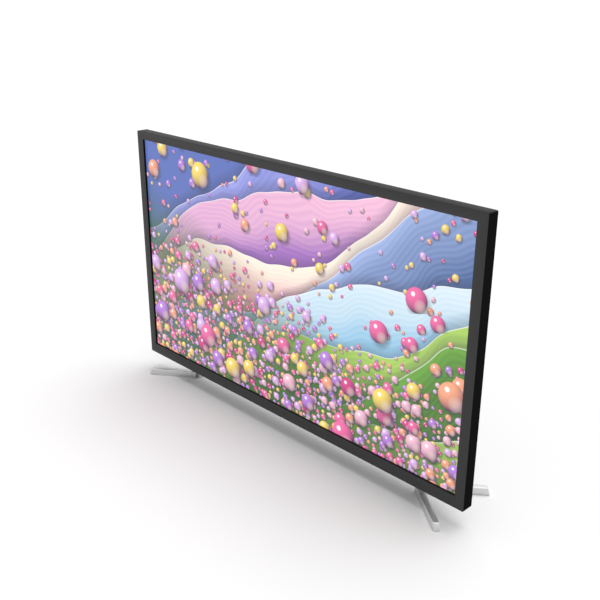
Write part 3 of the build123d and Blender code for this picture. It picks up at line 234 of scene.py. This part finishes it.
for scale, radius, share, seed in beads:
    # Each cell draws its chance of a bead, the bead's colour and its size.
    spot = u.node("CombineXYZ", None, {0: u * scale + seed, 1: v * scale})
    away, lot, middle = [
        spot.node("TexVoronoi", {"voronoi_dimensions": "2D", "feature": "F1"},
                  {"Vector": spot, "Scale": 1.0, "Randomness": 0.6}, output)
        for output in ("Distance", "Color", "Position")]
    chance, kind = lot.channel("Red"), lot.channel("Green")
    size = lot.channel("Blue") * bead_spread + smallest_bead
    bead_color = kind.node("ValToRGB", {"stops": bead_stops}, {"Fac": kind})
    bead_color.socket.node.color_ramp.interpolation = "CONSTANT"

    # The beads grow thicker below a line that slants a little, and few lie above it.
    middle_up = middle.measure("Y") / scale
    middle_across = (middle.measure("X") - seed) / scale
    stream = (0.16 - middle_up - middle_across * 0.12).clamp() * 1.5 + 0.1
    there = chance.math("LESS_THAN", stream.clamp() * share)

    # Light from the upper left leaves a sharp shine there, a glow inside the lower right of
    # the bead and a shadow on the cloth beyond it.
    offset = spot.node("VectorMath", {"operation": "SUBTRACT"}, {0: spot, 1: middle})
    side, rise = offset.measure("X") / radius, offset.measure("Y") / radius
    out = away / (size * radius)
    bulge = (1 - out * out).clamp().math("SQRT")
    lit = ((rise * 0.5 - side * 0.4) / size + bulge * 0.6 + 0.22).clamp()
    side, rise = side / size, rise / size
    glow = (1 - away_from(side, rise, 0.38, -0.44) * 2.4).clamp()
    shine = away_from(side, rise, -0.34, 0.42).below(0.035, 0.03)
    shadow = (1 - away_from(side, rise, 0.22, -0.3) * 0.62).clamp()
    bead = lit.tint((0.10, 0.02, 0.10, 1), bead_color)
    bead = (glow * 0.42).tint(bead, (1.0, 0.80, 0.70, 1))
    bead = (shine * 0.92).tint(bead, (1.0, 1.0, 1.0, 1))
    picture = (there * shadow * 0.75).tint(picture, (0.01, 0.02, 0.03, 1))
    picture = (there * out.below(1.0, 0.05)).tint(picture, bead)

# The lit area ends just inside the glass's black border.
border, border_soft = 0.0008, 0.0003
from_middle = (upward - picture_middle_z).math("ABSOLUTE")
lit_area = (across.math("ABSOLUTE").below(picture_half_width - border, border_soft)
            * from_middle.below(picture_half_height - border, border_soft))
lit_area.tint((0, 0, 0, 1), picture).into(screen_shader, "Emission Color")
place.noise(2500.0, 1).emboss(screen_shader, 0.05, 0.0001)
dress(screen, "lcd_cell")


# The light's way through the module: a sheet of fine prisms, a diffuser sheet, a thick
# diffuser plate that rests on slim cones, and a white tray behind. All are cut or drawn
# from clear or white plastic and lie loosely in the mid frame.
def roughen(place, shader, size, height):
    """Fine grain on a surface, of one size and height in metres."""
    grain = place.noise(1 / size, 3)
    grain.emboss(shader, 0.6, height)
    return grain


film, film_shader, place = start_finish("light guiding film", {
    "Base Color": (0.86, 0.87, 0.89, 1), "Alpha": 0.7})
ribs = place.node("TexWave", {"bands_direction": "Z"}, {"Vector": place, "Scale": 900.0})
ribs.emboss(film_shader, 0.3, 0.00003)
(ribs * 0.08 + 0.26).into(film_shader, "Roughness")
dress(film, "prism_sheet", "diffuser_sheet")
white, white_shader, place = start_finish("white diffusing plastic", {"Roughness": 0.6})
haze = roughen(place, white_shader, 0.0006, 0.00005)
(haze * 0.06).tint((0.88, 0.88, 0.87, 1), (0.8, 0.8, 0.78, 1)).into(white_shader, "Base Color")
dress(white, "diffuser_plate", "diffuser_supports", "reflector_sheet")


# The mid frame: a black moulded frame with a ledge, that holds the glass in front of it and
# the films behind it, with a tab at each screw.
frame_black, frame_shader, place = start_finish("black frame plastic", {
    "Base Color": (0.016, 0.016, 0.017, 1)})
flow = roughen(place, frame_shader, 0.0009, 0.00006)
(flow * 0.2 + 0.4).into(frame_shader, "Roughness")
dress(frame_black, "mid_frame")


# The lamps: narrow aluminium boards with white lacquer, taped to the chassis, each with a row
# of chips under clear moulded lenses that throw the light sideways.
lamp_board, lamp_shader, place = start_finish("white lacquered lamp board", {
    "Roughness": 0.35, "Metallic": 0.1})
speck = roughen(place, lamp_shader, 0.0004, 0.00002)
tracks_per_metre = 260
track = (place.measure("X") * tracks_per_metre).math("SINE").math("ABSOLUTE").below(0.05, 0.04)
(track * 0.5 + speck * 0.1).tint((0.84, 0.84, 0.82, 1), (0.62, 0.58, 0.42, 1)).into(
    lamp_shader, "Base Color")
dress(lamp_board, "led_bar_1", "led_bar_2", "led_bar_3", "led_bar_4")
clear, clear_shader, place = start_finish("clear lens plastic", {
    "Base Color": (0.93, 0.94, 0.95, 1), "Alpha": 0.45})
drawn = roughen(place, clear_shader, 0.002, 0.00003)
(drawn * 0.1 + 0.08).into(clear_shader, "Roughness")
dress(clear, "led_lenses")


# The chassis and its brackets: pressed sheet steel with a dull zinc coat, whose crystals show
# as pale and dark flakes. The small screws have the same coat. The nuts of the wall mount are
# turned from bright steel, and pressed into the brackets.
zinc, zinc_shader, place = start_finish("zinc coated steel", {"Metallic": 0.9})
flake = place.node("TexVoronoi", None, {"Vector": place, "Scale": 160.0}, "Color").channel("Red")
rolled = roughen(place, zinc_shader, 0.0012, 0.00003)
(flake * 0.6 + rolled * 0.4).tint((0.42, 0.43, 0.45, 1), (0.68, 0.69, 0.71, 1)).into(
    zinc_shader, "Base Color")
(flake * 0.15 + rolled * 0.15 + 0.28).into(zinc_shader, "Roughness")
dress(zinc, "back_chassis", "wall_bracket_left", "wall_bracket_right", "foot_bracket_left",
      "foot_bracket_right", "module_screws", "board_screws")
nut_steel, nut_shader, place = start_finish("threaded nut steel", {
    "Metallic": 1.0, "Base Color": (0.6, 0.6, 0.58, 1)})
thread_pitch = 0.00125
thread = (place.measure("Y") * (2 * math.pi / thread_pitch)).math("SINE")
thread.emboss(nut_shader, 0.8, 0.0003)
(thread * 0.08 + 0.36).into(nut_shader, "Roughness")
dress(nut_steel, "wall_mount_nuts")


# The circuit boards: glass fibre under green lacquer, with copper tracks that show through as
# paler lines, dark chips and pale ports. They stand on the chassis's posts.
board, board_shader, place = start_finish("green circuit board")
board_plane = place.node("CombineXYZ", None, {0: place.measure("X"), 1: place.measure("Z")})
grid = place.node("TexBrick", {"offset": 0.37, "squash": 0.6}, {
    "Vector": board_plane, "Color1": (0, 0, 0, 1), "Color2": (0.4, 0.4, 0.4, 1),
    "Mortar": (1, 1, 1, 1), "Scale": 110.0, "Mortar Size": 0.012, "Brick Width": 0.9,
    "Row Height": 0.3})
tracks = grid.channel("Red")
tracks.tint((0.008, 0.075, 0.03, 1), (0.03, 0.2, 0.08, 1)).into(board_shader, "Base Color")
tracks.emboss(board_shader, 0.3, 0.0001)
(0.4 - tracks * 0.15).into(board_shader, "Roughness")
dress(board, "main_board", "power_board", "timing_board", "source_board_left",
      "source_board_right", "wifi_module", "ir_board", "jog_board")


# What stands on the boards: extruded aluminium heat sinks, a transformer wound on a ferrite
# core under black tape, and tall capacitors in shrunk plastic sleeves. All are soldered on.
drawn_metal, drawn_shader, place = start_finish("extruded aluminium", {
    "Metallic": 1.0, "Base Color": (0.72, 0.72, 0.73, 1)})
lengthwise = place.node("Mapping", None, {"Vector": place, "Scale": (1, 1, 0.05)})
streaks = lengthwise.noise(1500.0, 2)
(streaks * 0.2 + 0.25).into(drawn_shader, "Roughness")
streaks.emboss(drawn_shader, 0.3, 0.00004)
dress(drawn_metal, "heat_sink", "power_heat_sinks")
ferrite, ferrite_shader, place = start_finish("ferrite and winding tape", {"Roughness": 0.7})
speck = roughen(place, ferrite_shader, 0.0005, 0.0001)
speck.tint((0.02, 0.02, 0.02, 1), (0.09, 0.085, 0.08, 1)).into(ferrite_shader, "Base Color")
dress(ferrite, "power_transformer")
sleeve, sleeve_shader, place = start_finish("capacitor sleeve")
shrink = roughen(place, sleeve_shader, 0.004, 0.00008)
shrink.tint((0.012, 0.014, 0.03, 1), (0.03, 0.034, 0.07, 1)).into(sleeve_shader, "Base Color")
(shrink * 0.2 + 0.18).into(sleeve_shader, "Roughness")
dress(sleeve, "power_capacitors")


# The cables inside: thin amber films from the glass, pale flat ribbons between the boards and
# round leads with a soft black skin, which nylon clips hold side by side.
amber, amber_shader, place = start_finish("amber cable film")
conductor_pitch = 0.0006
conductor = (place.measure("X") * (2 * math.pi / conductor_pitch)).math("SINE")
(conductor * 0.5 + 0.5).tint((0.42, 0.2, 0.03, 1), (0.62, 0.34, 0.08, 1)).into(
    amber_shader, "Base Color")
(conductor * 0.05 + 0.26).into(amber_shader, "Roughness")
dress(amber, "source_films")
ribbon, ribbon_shader, place = start_finish("flat ribbon cable", {"Roughness": 0.4})
strand = place.node("TexWave", {"bands_direction": "DIAGONAL"}, {"Vector": place, "Scale": 320.0})
strand.tint((0.55, 0.58, 0.62, 1), (0.8, 0.82, 0.84, 1)).into(ribbon_shader, "Base Color")
strand.emboss(ribbon_shader, 0.4, 0.0001)
dress(ribbon, "ribbon_cables")
lead, lead_shader, place = start_finish("soft lead skin", {"Base Color": (0.02, 0.02, 0.021, 1)})
rub = roughen(place, lead_shader, 0.0008, 0.00005)
(rub * 0.25 + 0.4).into(lead_shader, "Roughness")
dress(lead, "wiring_loom")
nylon, nylon_shader, place = start_finish("natural nylon", {"Roughness": 0.45})
milky = roughen(place, nylon_shader, 0.0015, 0.00005)
milky.tint((0.72, 0.71, 0.66, 1), (0.84, 0.83, 0.79, 1)).into(nylon_shader, "Base Color")
dress(nylon, "cable_clips")


# The sockets that face sideways out of the back: bent shells of bright nickelled steel for
# picture, data and antenna, and black moulded blocks for network, sound and mains.
nickel, nickel_shader, place = start_finish("nickelled socket shell", {
    "Metallic": 1.0, "Base Color": (0.66, 0.64, 0.6, 1)})
bent = roughen(place, nickel_shader, 0.0015, 0.00003)
(bent * 0.16 + 0.16).into(nickel_shader, "Roughness")
dress(nickel, "hdmi_sockets", "usb_socket", "antenna_socket")
socket_black, socket_shader, place = start_finish("black socket plastic", {
    "Base Color": (0.012, 0.012, 0.012, 1)})
pored = roughen(place, socket_shader, 0.0007, 0.00005)
(pored * 0.2 + 0.35).into(socket_shader, "Roughness")
dress(socket_black, "lan_socket", "audio_socket", "ac_inlet")


# The contacts in the sockets: flat strips and sprung wires of gilt bronze, which the tongues
# and the network socket's wall hold in rows. A plug's own contacts slide along them.
gilt, gilt_shader, place = start_finish("gilt contact bronze", {"Metallic": 1.0})
wiped = roughen(place, gilt_shader, 0.0004, 0.00001)
wiped.tint((0.72, 0.48, 0.16, 1), (0.86, 0.64, 0.28, 1)).into(gilt_shader, "Base Color")
(wiped * 0.16 + 0.18).into(gilt_shader, "Roughness")


def join_copies(name, first, spots, material):
    """Copies of one piece at each spot, joined into one piece of the set's body."""
    copies = []
    for spot in spots:
        one = first.copy()
        one.data = first.data.copy()
        one.data.transform(Matrix.Translation(spot))
        bpy.context.scene.collection.objects.link(one)
        copies.append(one)
    bpy.data.objects.remove(first)
    bpy.ops.object.select_all(action="DESELECT")
    for one in copies:
        one.select_set(True)
    bpy.context.view_layer.objects.active = copies[0]
    bpy.ops.object.join()
    joined = bpy.context.object
    joined.name = name
    joined.data.materials.clear()
    joined.data.materials.append(material)
    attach(joined, "set")
    return joined


def row(count, pitch):
    """Places in a row at one pitch, counted from its middle."""
    return [(index - (count - 1) / 2) * pitch for index in range(count)]


def contact_strip(long, thick, wide):
    """A flat strip along X with eased edges."""
    bpy.ops.object.select_all(action="DESELECT")
    bpy.ops.mesh.primitive_cube_add(size=1, scale=(long, thick, wide))
    strip = bpy.context.object
    bpy.ops.object.transform_apply(location=True, rotation=True, scale=True)
    edges = strip.modifiers.new("edges", "BEVEL")
    edges.width = thick * 0.4
    edges.segments = 2
    bpy.ops.object.modifier_apply(modifier="edges")
    bpy.ops.object.shade_smooth_by_angle(angle=math.radians(35))
    return strip


tongue_face = 0.00059
picture_contact_x, picture_tongue_y, picture_pitch = -0.257, -0.0109, 0.001
picture_heights = (0.128, 0.154)
picture_spots = [(picture_contact_x, picture_tongue_y + side * tongue_face, height + step)
                 for height in picture_heights for side in (-1, 1)
                 for step in row(10, picture_pitch)]
picture_strip = contact_strip(long=0.0064, thick=0.0001, wide=0.0005)
join_copies("picture_contacts", picture_strip, picture_spots, gilt)
data_contact_x, data_tongue_y, data_height, data_pitch = -0.2562, -0.0103, 0.182, 0.0024
data_spots = [(data_contact_x, data_tongue_y - tongue_face, data_height + step)
              for step in row(4, data_pitch)]
data_strip = contact_strip(long=0.008, thick=0.0001, wide=0.0013)
join_copies("data_contacts", data_strip, data_spots, gilt)


def sprung_wire(long, radius, slope):
    """A thin wire along X that leans away from its wall."""
    bpy.ops.object.select_all(action="DESELECT")
    bpy.ops.mesh.primitive_cylinder_add(vertices=10, radius=radius, depth=long,
                                        rotation=(0, math.radians(90), 0))
    wire = bpy.context.object
    bpy.ops.object.transform_apply(location=True, rotation=True, scale=True)
    bpy.ops.object.mode_set(mode="EDIT")
    bpy.ops.mesh.select_all(action="SELECT")
    bpy.ops.transform.rotate(value=slope, orient_axis="Z", center_override=(0, 0, 0))
    bpy.ops.object.mode_set(mode="OBJECT")
    bpy.ops.object.shade_smooth_by_angle(angle=math.radians(50))
    return wire


network_contact_x, network_wall_y, network_height = -0.2543, -0.0105, 0.21
network_pitch = 0.00102
network_spots = [(network_contact_x, network_wall_y, network_height + step)
                 for step in row(8, network_pitch)]
network_wire = sprung_wire(long=0.0072, radius=0.00016, slope=math.radians(9))
join_copies("network_contacts", network_wire, network_spots, gilt)


# The loudspeakers: closed moulded boxes with oblong drivers in them, which fire down through
# the slots. A driver has a painted steel frame and magnet and a pressed paper cone.
box_plastic, box_shader, place = start_finish("speaker box plastic", {
    "Base Color": (0.014, 0.014, 0.015, 1)})
moulded = roughen(place, box_shader, 0.001, 0.00006)
(moulded * 0.2 + 0.45).into(box_shader, "Roughness")
dress(box_plastic, "speaker_box_left", "speaker_box_right")
driver_metal, driver_shader, place = start_finish("painted driver frame", {"Metallic": 0.4})
coat = roughen(place, driver_shader, 0.0012, 0.00005)
coat.tint((0.1, 0.1, 0.105, 1), (0.2, 0.2, 0.21, 1)).into(driver_shader, "Base Color")
(coat * 0.2 + 0.35).into(driver_shader, "Roughness")
dress(driver_metal, "speaker_driver_left", "speaker_driver_right")
paper, paper_shader, place = start_finish("pressed cone paper", {"Roughness": 0.85})
pulp = roughen(place, paper_shader, 0.0006, 0.0001)
pulp.tint((0.015, 0.015, 0.016, 1), (0.05, 0.048, 0.045, 1)).into(paper_shader, "Base Color")
dress(paper, "speaker_cone_left", "speaker_cone_right")


# The front bezel: one moulding in black ABS. Its face has a fine satin coat that looks dark
# grey. Its top faces get a lighter copy of that coat as painted light from above, and its side
# walls a deep black copy without shine as painted shade. The edges are softly rounded.
def stand_in(name, material):
    """A copy of a CAD node with its triangles merged, which stands for it."""
    piece = nodes[name].copy()
    piece.data = nodes[name].data.copy()
    piece.name = name + "_finished"
    bpy.context.scene.collection.objects.link(piece)
    piece.parent = None
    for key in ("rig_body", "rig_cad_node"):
        del piece[key]
    bpy.ops.object.select_all(action="DESELECT")
    bpy.context.view_layer.objects.active = piece
    piece.select_set(True)
    bpy.ops.object.mode_set(mode="EDIT")
    bpy.ops.mesh.select_all(action="SELECT")
    bpy.ops.mesh.remove_doubles(threshold=0.000001)
    bpy.ops.mesh.dissolve_limited(angle_limit=math.radians(0.5))
    bpy.ops.object.mode_set(mode="OBJECT")
    piece.data.materials.clear()
    piece.data.materials.append(material)
    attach(piece, nodes[name]["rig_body"])
    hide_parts(name)
    return piece


def soften(name, width, material):
    """A stand-in for a CAD node with its sharp edges rounded."""
    piece = stand_in(name, material)
    bevel = piece.modifiers.new("edges", "BEVEL")
    bevel.width = width
    bevel.segments = 2
    bevel.limit_method = "ANGLE"
    bevel.angle_limit = math.radians(28)
    bpy.ops.object.modifier_apply(modifier="edges")
    bpy.ops.object.shade_smooth_by_angle(angle=math.radians(35))
    return piece


bezel, bezel_shader, place = start_finish("satin bezel coat", {"Specular IOR Level": 0.3})
grainy, broad = place.noise(1400.0, 2), place.noise(6.0, 2)
(grainy * 0.5 + broad * 0.5).tint((0.026, 0.026, 0.0265, 1), (0.036, 0.036, 0.0365, 1)).into(
    bezel_shader, "Base Color")
(grainy * 0.12 + broad * 0.1 + 0.34).into(bezel_shader, "Roughness")
grainy.emboss(bezel_shader, 0.25, 0.00004)
# Painted shade: a deep black copy of the plastic without shine, for the side walls.
painted_side_shade, painted_side_shade_shader, place = start_finish("bezel side painted shade", {"Specular IOR Level": 0.0})
flow = roughen(place, painted_side_shade_shader, 0.0009, 0.00004)
flow.tint((0.007, 0.007, 0.0074, 1), (0.011, 0.011, 0.0115, 1)).into(painted_side_shade_shader, "Base Color")
(flow * 0.15 + 0.4).into(painted_side_shade_shader, "Roughness")
# Painted light: a lighter copy of the coat, for the faces that turn up.
painted_top_light, painted_top_light_shader, place = start_finish("bezel top painted light", {"Specular IOR Level": 0.06})
top_speck = roughen(place, painted_top_light_shader, 0.0007, 0.00004)
top_speck.tint((0.015, 0.015, 0.0154, 1), (0.021, 0.021, 0.0215, 1)).into(painted_top_light_shader, "Base Color")
(top_speck * 0.15 + 0.42).into(painted_top_light_shader, "Roughness")
front = soften("front_bezel", 0.0003, bezel)
front.data.materials.append(painted_side_shade)
front.data.materials.append(painted_top_light)
# Top faces take the painted light copy of the coat, side walls the painted shade copy.
for polygon in front.data.polygons:
    faces_front, faces_up = polygon.normal.y <= -0.75, polygon.normal.z > 0.5
    if not faces_front:
        polygon.material_index = 2 if faces_up else 1


# The remote sensor's window: a small block of dark red plastic with a glossy face, let flush
# into the bezel's underside. It lets only the infrared light of the remote control through.
window, window_shader, place = start_finish("dark sensor window", {
    "Base Color": (0.02, 0.004, 0.005, 1), "Coat Weight": 0.6})
tinted = roughen(place, window_shader, 0.003, 0.00002)
(tinted * 0.08 + 0.08).into(window_shader, "Roughness")
dress(window, "ir_lens")


# The rear cover: one large moulding in black ABS with an even spark eroded grain, hollow
# towards the chassis, with slots for air and sound and recesses for the plugs. The side faces
# of its rim get the deep black painted shade of the bezel's side walls, which they continue.
cover, cover_shader, place = start_finish("grained cover plastic")
grain, wide = place.noise(1100.0, 3, 0.7), place.noise(4.0, 2)
grain.emboss(cover_shader, 0.7, 0.00012)
(grain * 0.2 + wide * 0.12 + 0.38).into(cover_shader, "Roughness")
(grain * 0.6 + wide * 0.4).tint((0.011, 0.011, 0.0115, 1), (0.02, 0.02, 0.021, 1)).into(
    cover_shader, "Base Color")
shell = stand_in("rear_cover", cover)
bpy.ops.object.shade_smooth_by_angle(angle=math.radians(12))
shell.data.materials.append(painted_side_shade)
rim_edge_x = 0.4625
# The rim's side faces take the deep black painted shade of the bezel's side walls.
for polygon in shell.data.polygons:
    faces_side = abs(polygon.normal.x) > 0.9
    if faces_side and abs(polygon.center.x) > rim_edge_x:
        polygon.material_index = 1


# The screws that show at the back: black oxidised steel, with cross recesses pressed into
# their heads. Sixteen hold the cover's rim and four hold the feet.
oxide, oxide_shader, place = start_finish("black oxidised steel", {"Metallic": 0.8})
worn = roughen(place, oxide_shader, 0.0006, 0.00004)
worn.tint((0.02, 0.02, 0.021, 1), (0.07, 0.07, 0.072, 1)).into(oxide_shader, "Base Color")
(worn * 0.2 + 0.3).into(oxide_shader, "Roughness")


def cross_screw(radius, head, shank_radius, shank, recess):
    """A pan head screw along Y with its head's face at y = 0, and a cross recess in it."""
    bpy.ops.object.select_all(action="DESELECT")
    bpy.ops.mesh.primitive_cylinder_add(vertices=32, radius=radius, depth=head,
                                        location=(0, -head / 2, 0),
                                        rotation=(math.radians(90), 0, 0))
    screw = bpy.context.object
    bpy.ops.object.transform_apply(location=True, rotation=True, scale=True)
    bpy.ops.object.mode_set(mode="EDIT")
    bpy.ops.mesh.select_mode(type="FACE")
    bpy.ops.mesh.select_all(action="DESELECT")
    bpy.ops.object.mode_set(mode="OBJECT")
    for polygon in screw.data.polygons:
        polygon.select = polygon.normal.y < -0.9
    bpy.ops.object.mode_set(mode="EDIT")
    bpy.ops.mesh.inset(thickness=radius - shank_radius)
    bpy.ops.mesh.extrude_region_move(TRANSFORM_OT_translate={"value": (0, -shank, 0)})
    bpy.ops.object.mode_set(mode="OBJECT")
    overrun = 0.0001
    recess_long, recess_wide = radius * 1.25, radius * 0.28
    for turned in (0, 90):
        bpy.ops.mesh.primitive_cube_add(size=1, location=(0, -recess / 2 + overrun, 0),
                                        rotation=(0, math.radians(turned), 0),
                                        scale=(recess_long, recess + 2 * overrun, recess_wide))
        cutter = bpy.context.object
        cut = screw.modifiers.new("recess", "BOOLEAN")
        cut.object = cutter
        cut.operation = "DIFFERENCE"
        bpy.context.view_layer.objects.active = screw
        bpy.ops.object.modifier_apply(modifier="recess")
        bpy.data.objects.remove(cutter)
    edges = screw.modifiers.new("edges", "BEVEL")
    edges.width = head * 0.16
    edges.segments = 2
    edges.limit_method = "ANGLE"
    bpy.ops.object.modifier_apply(modifier="edges")
    bpy.ops.object.select_all(action="DESELECT")
    screw.select_set(True)
    bpy.ops.object.shade_smooth_by_angle(angle=math.radians(35))
    return screw


body_width, body_height, body_bottom = 0.926, 0.539, 0.042
rim_screw_side, rim_screw_y, rim_screw_low, rim_screw_high = 0.45595, -0.0273, 0.0471, 0.5756
rim_heights = [body_bottom + share * body_height for share in (0.12, 0.40, 0.68, 0.93)]
rim_widths = [share * body_width for share in (-0.42, -0.15, 0.15, 0.42)]
rim_spots = [(sign * rim_screw_side, rim_screw_y, z) for sign in (-1, 1) for z in rim_heights]
rim_spots += [(x, rim_screw_y, z) for x in rim_widths for z in (rim_screw_low, rim_screw_high)]
rim_screw = cross_screw(radius=0.0024, head=0.001, shank_radius=0.0012, shank=0.0136,
                        recess=0.0007)
rim_screws = join_copies("rim_screws_finished", rim_screw, rim_spots, oxide)
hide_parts("rear_cover_screws")
foot_screw_side, foot_screw_y, foot_screw_heights = 0.34, 0.0137, (0.074, 0.094)
foot_spots = [(sign * foot_screw_side, foot_screw_y, z) for sign in (-1, 1)
              for z in foot_screw_heights]
foot_screw = cross_screw(radius=0.0038, head=0.0077, shank_radius=0.0019, shank=0.026,
                         recess=0.0018)
foot_screws = join_copies("foot_screws_finished", foot_screw, foot_spots, oxide)
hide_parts("foot_screws")


# The jog button at the back: a small dished thumb piece on a stem, in a gimbal on a sliding
# disc, all moulded in satin black and sitting in a round cup behind the cover's web.
thumb, thumb_shader, place = start_finish("satin button plastic", {
    "Base Color": (0.03, 0.03, 0.031, 1)})
touch = roughen(place, thumb_shader, 0.0005, 0.00003)
(touch * 0.2 + 0.3).into(thumb_shader, "Roughness")
dress(thumb, "jog_cradle", "jog_plunger", "jog_gimbal")
soften("jog_knob", 0.00015, thumb)


# The feet: two aluminium castings, V shaped in plan, ground and bead blasted to an even satin
# and clear lacquered. Each stands on three rubber pads let into its underside.
cast_metal, cast_shader, place = start_finish("satin cast aluminium", {
    "Metallic": 1.0, "Coat Weight": 0.1, "Coat Roughness": 0.2})
blast, sweep = place.noise(2600.0, 2), place.noise(14.0, 3)
(blast * 0.4 + sweep * 0.6).tint((0.61, 0.61, 0.615, 1), (0.71, 0.71, 0.715, 1)).into(
    cast_shader, "Base Color")
(blast * 0.1 + sweep * 0.1 + 0.34).into(cast_shader, "Roughness")
blast.emboss(cast_shader, 0.3, 0.00003)
for name in ("foot_left", "foot_right"):
    soften(name, 0.00015, cast_metal)
rubber, rubber_shader, place = start_finish("pad rubber", {"Base Color": (0.016, 0.016, 0.016, 1)})
crumb = roughen(place, rubber_shader, 0.0009, 0.0001)
(crumb * 0.2 + 0.65).into(rubber_shader, "Roughness")
dress(rubber, "foot_pads")


# The studio: a wide pale floor that holds the shadow, and even white light from all round.
# The world is plain white to the camera, to metal and to glass.
bpy.ops.object.select_all(action="DESELECT")
bpy.ops.mesh.primitive_plane_add(size=80)
floor = bpy.context.object
floor.name = "studio_floor"
ground = start_finish("pale floor", {
    "Base Color": (0.99, 0.99, 0.99, 1), "Roughness": 1.0, "Specular IOR Level": 0.0})[0]
floor.data.materials.append(ground)
world = bpy.data.worlds.new("studio light")
bpy.context.scene.world = world
world.use_nodes = True
background = world.node_tree.nodes["Background"]
background.inputs["Color"].default_value = (1, 1, 1, 1)
light_path = Value(world.node_tree)
camera_ray, glossy_ray, glass_ray = [
    light_path.node("LightPath", output=output)
    for output in ("Is Camera Ray", "Is Glossy Ray", "Is Transmission Ray")]
seen = (camera_ray + glossy_ray + glass_ray).clamp()
ambient = 0.48
(seen * (1 - ambient) + ambient).into(background, "Strength")
sun = bpy.data.objects.new("overhead softbox", bpy.data.lights.new("overhead softbox", "SUN"))
sun.data.energy = 1.86
sun.data.angle = math.radians(55)
sun_way = Vector((-0.06, -0.22, -1))
sun.rotation_euler = sun_way.to_track_quat("-Z", "Y").to_euler()
bpy.context.scene.collection.objects.link(sun)


# The camera: it stands in front of the set and to its right, looks down on it, and has the
# photograph's angle and framing.
camera_data = bpy.data.cameras.new("photo camera")
camera_data.lens = 51.136
camera_data.clip_end = 200
camera = bpy.data.objects.new("photo camera", camera_data)
bpy.context.scene.collection.objects.link(camera)
camera_place = (1.14855, -1.12502, 0.93482)
right = Vector((0.69999, 0.71414, 0.00295)).normalized()
back = Vector((0.66249, -0.65089, 0.37075)).normalized()
up = back.cross(right).normalized()
right = up.cross(back)
camera_turn = Matrix((right, up, back)).transposed().to_4x4()
camera.matrix_world = Matrix.Translation(camera_place) @ camera_turn
bpy.context.scene.camera = camera
bpy.context.scene.view_settings.view_transform = "Standard"
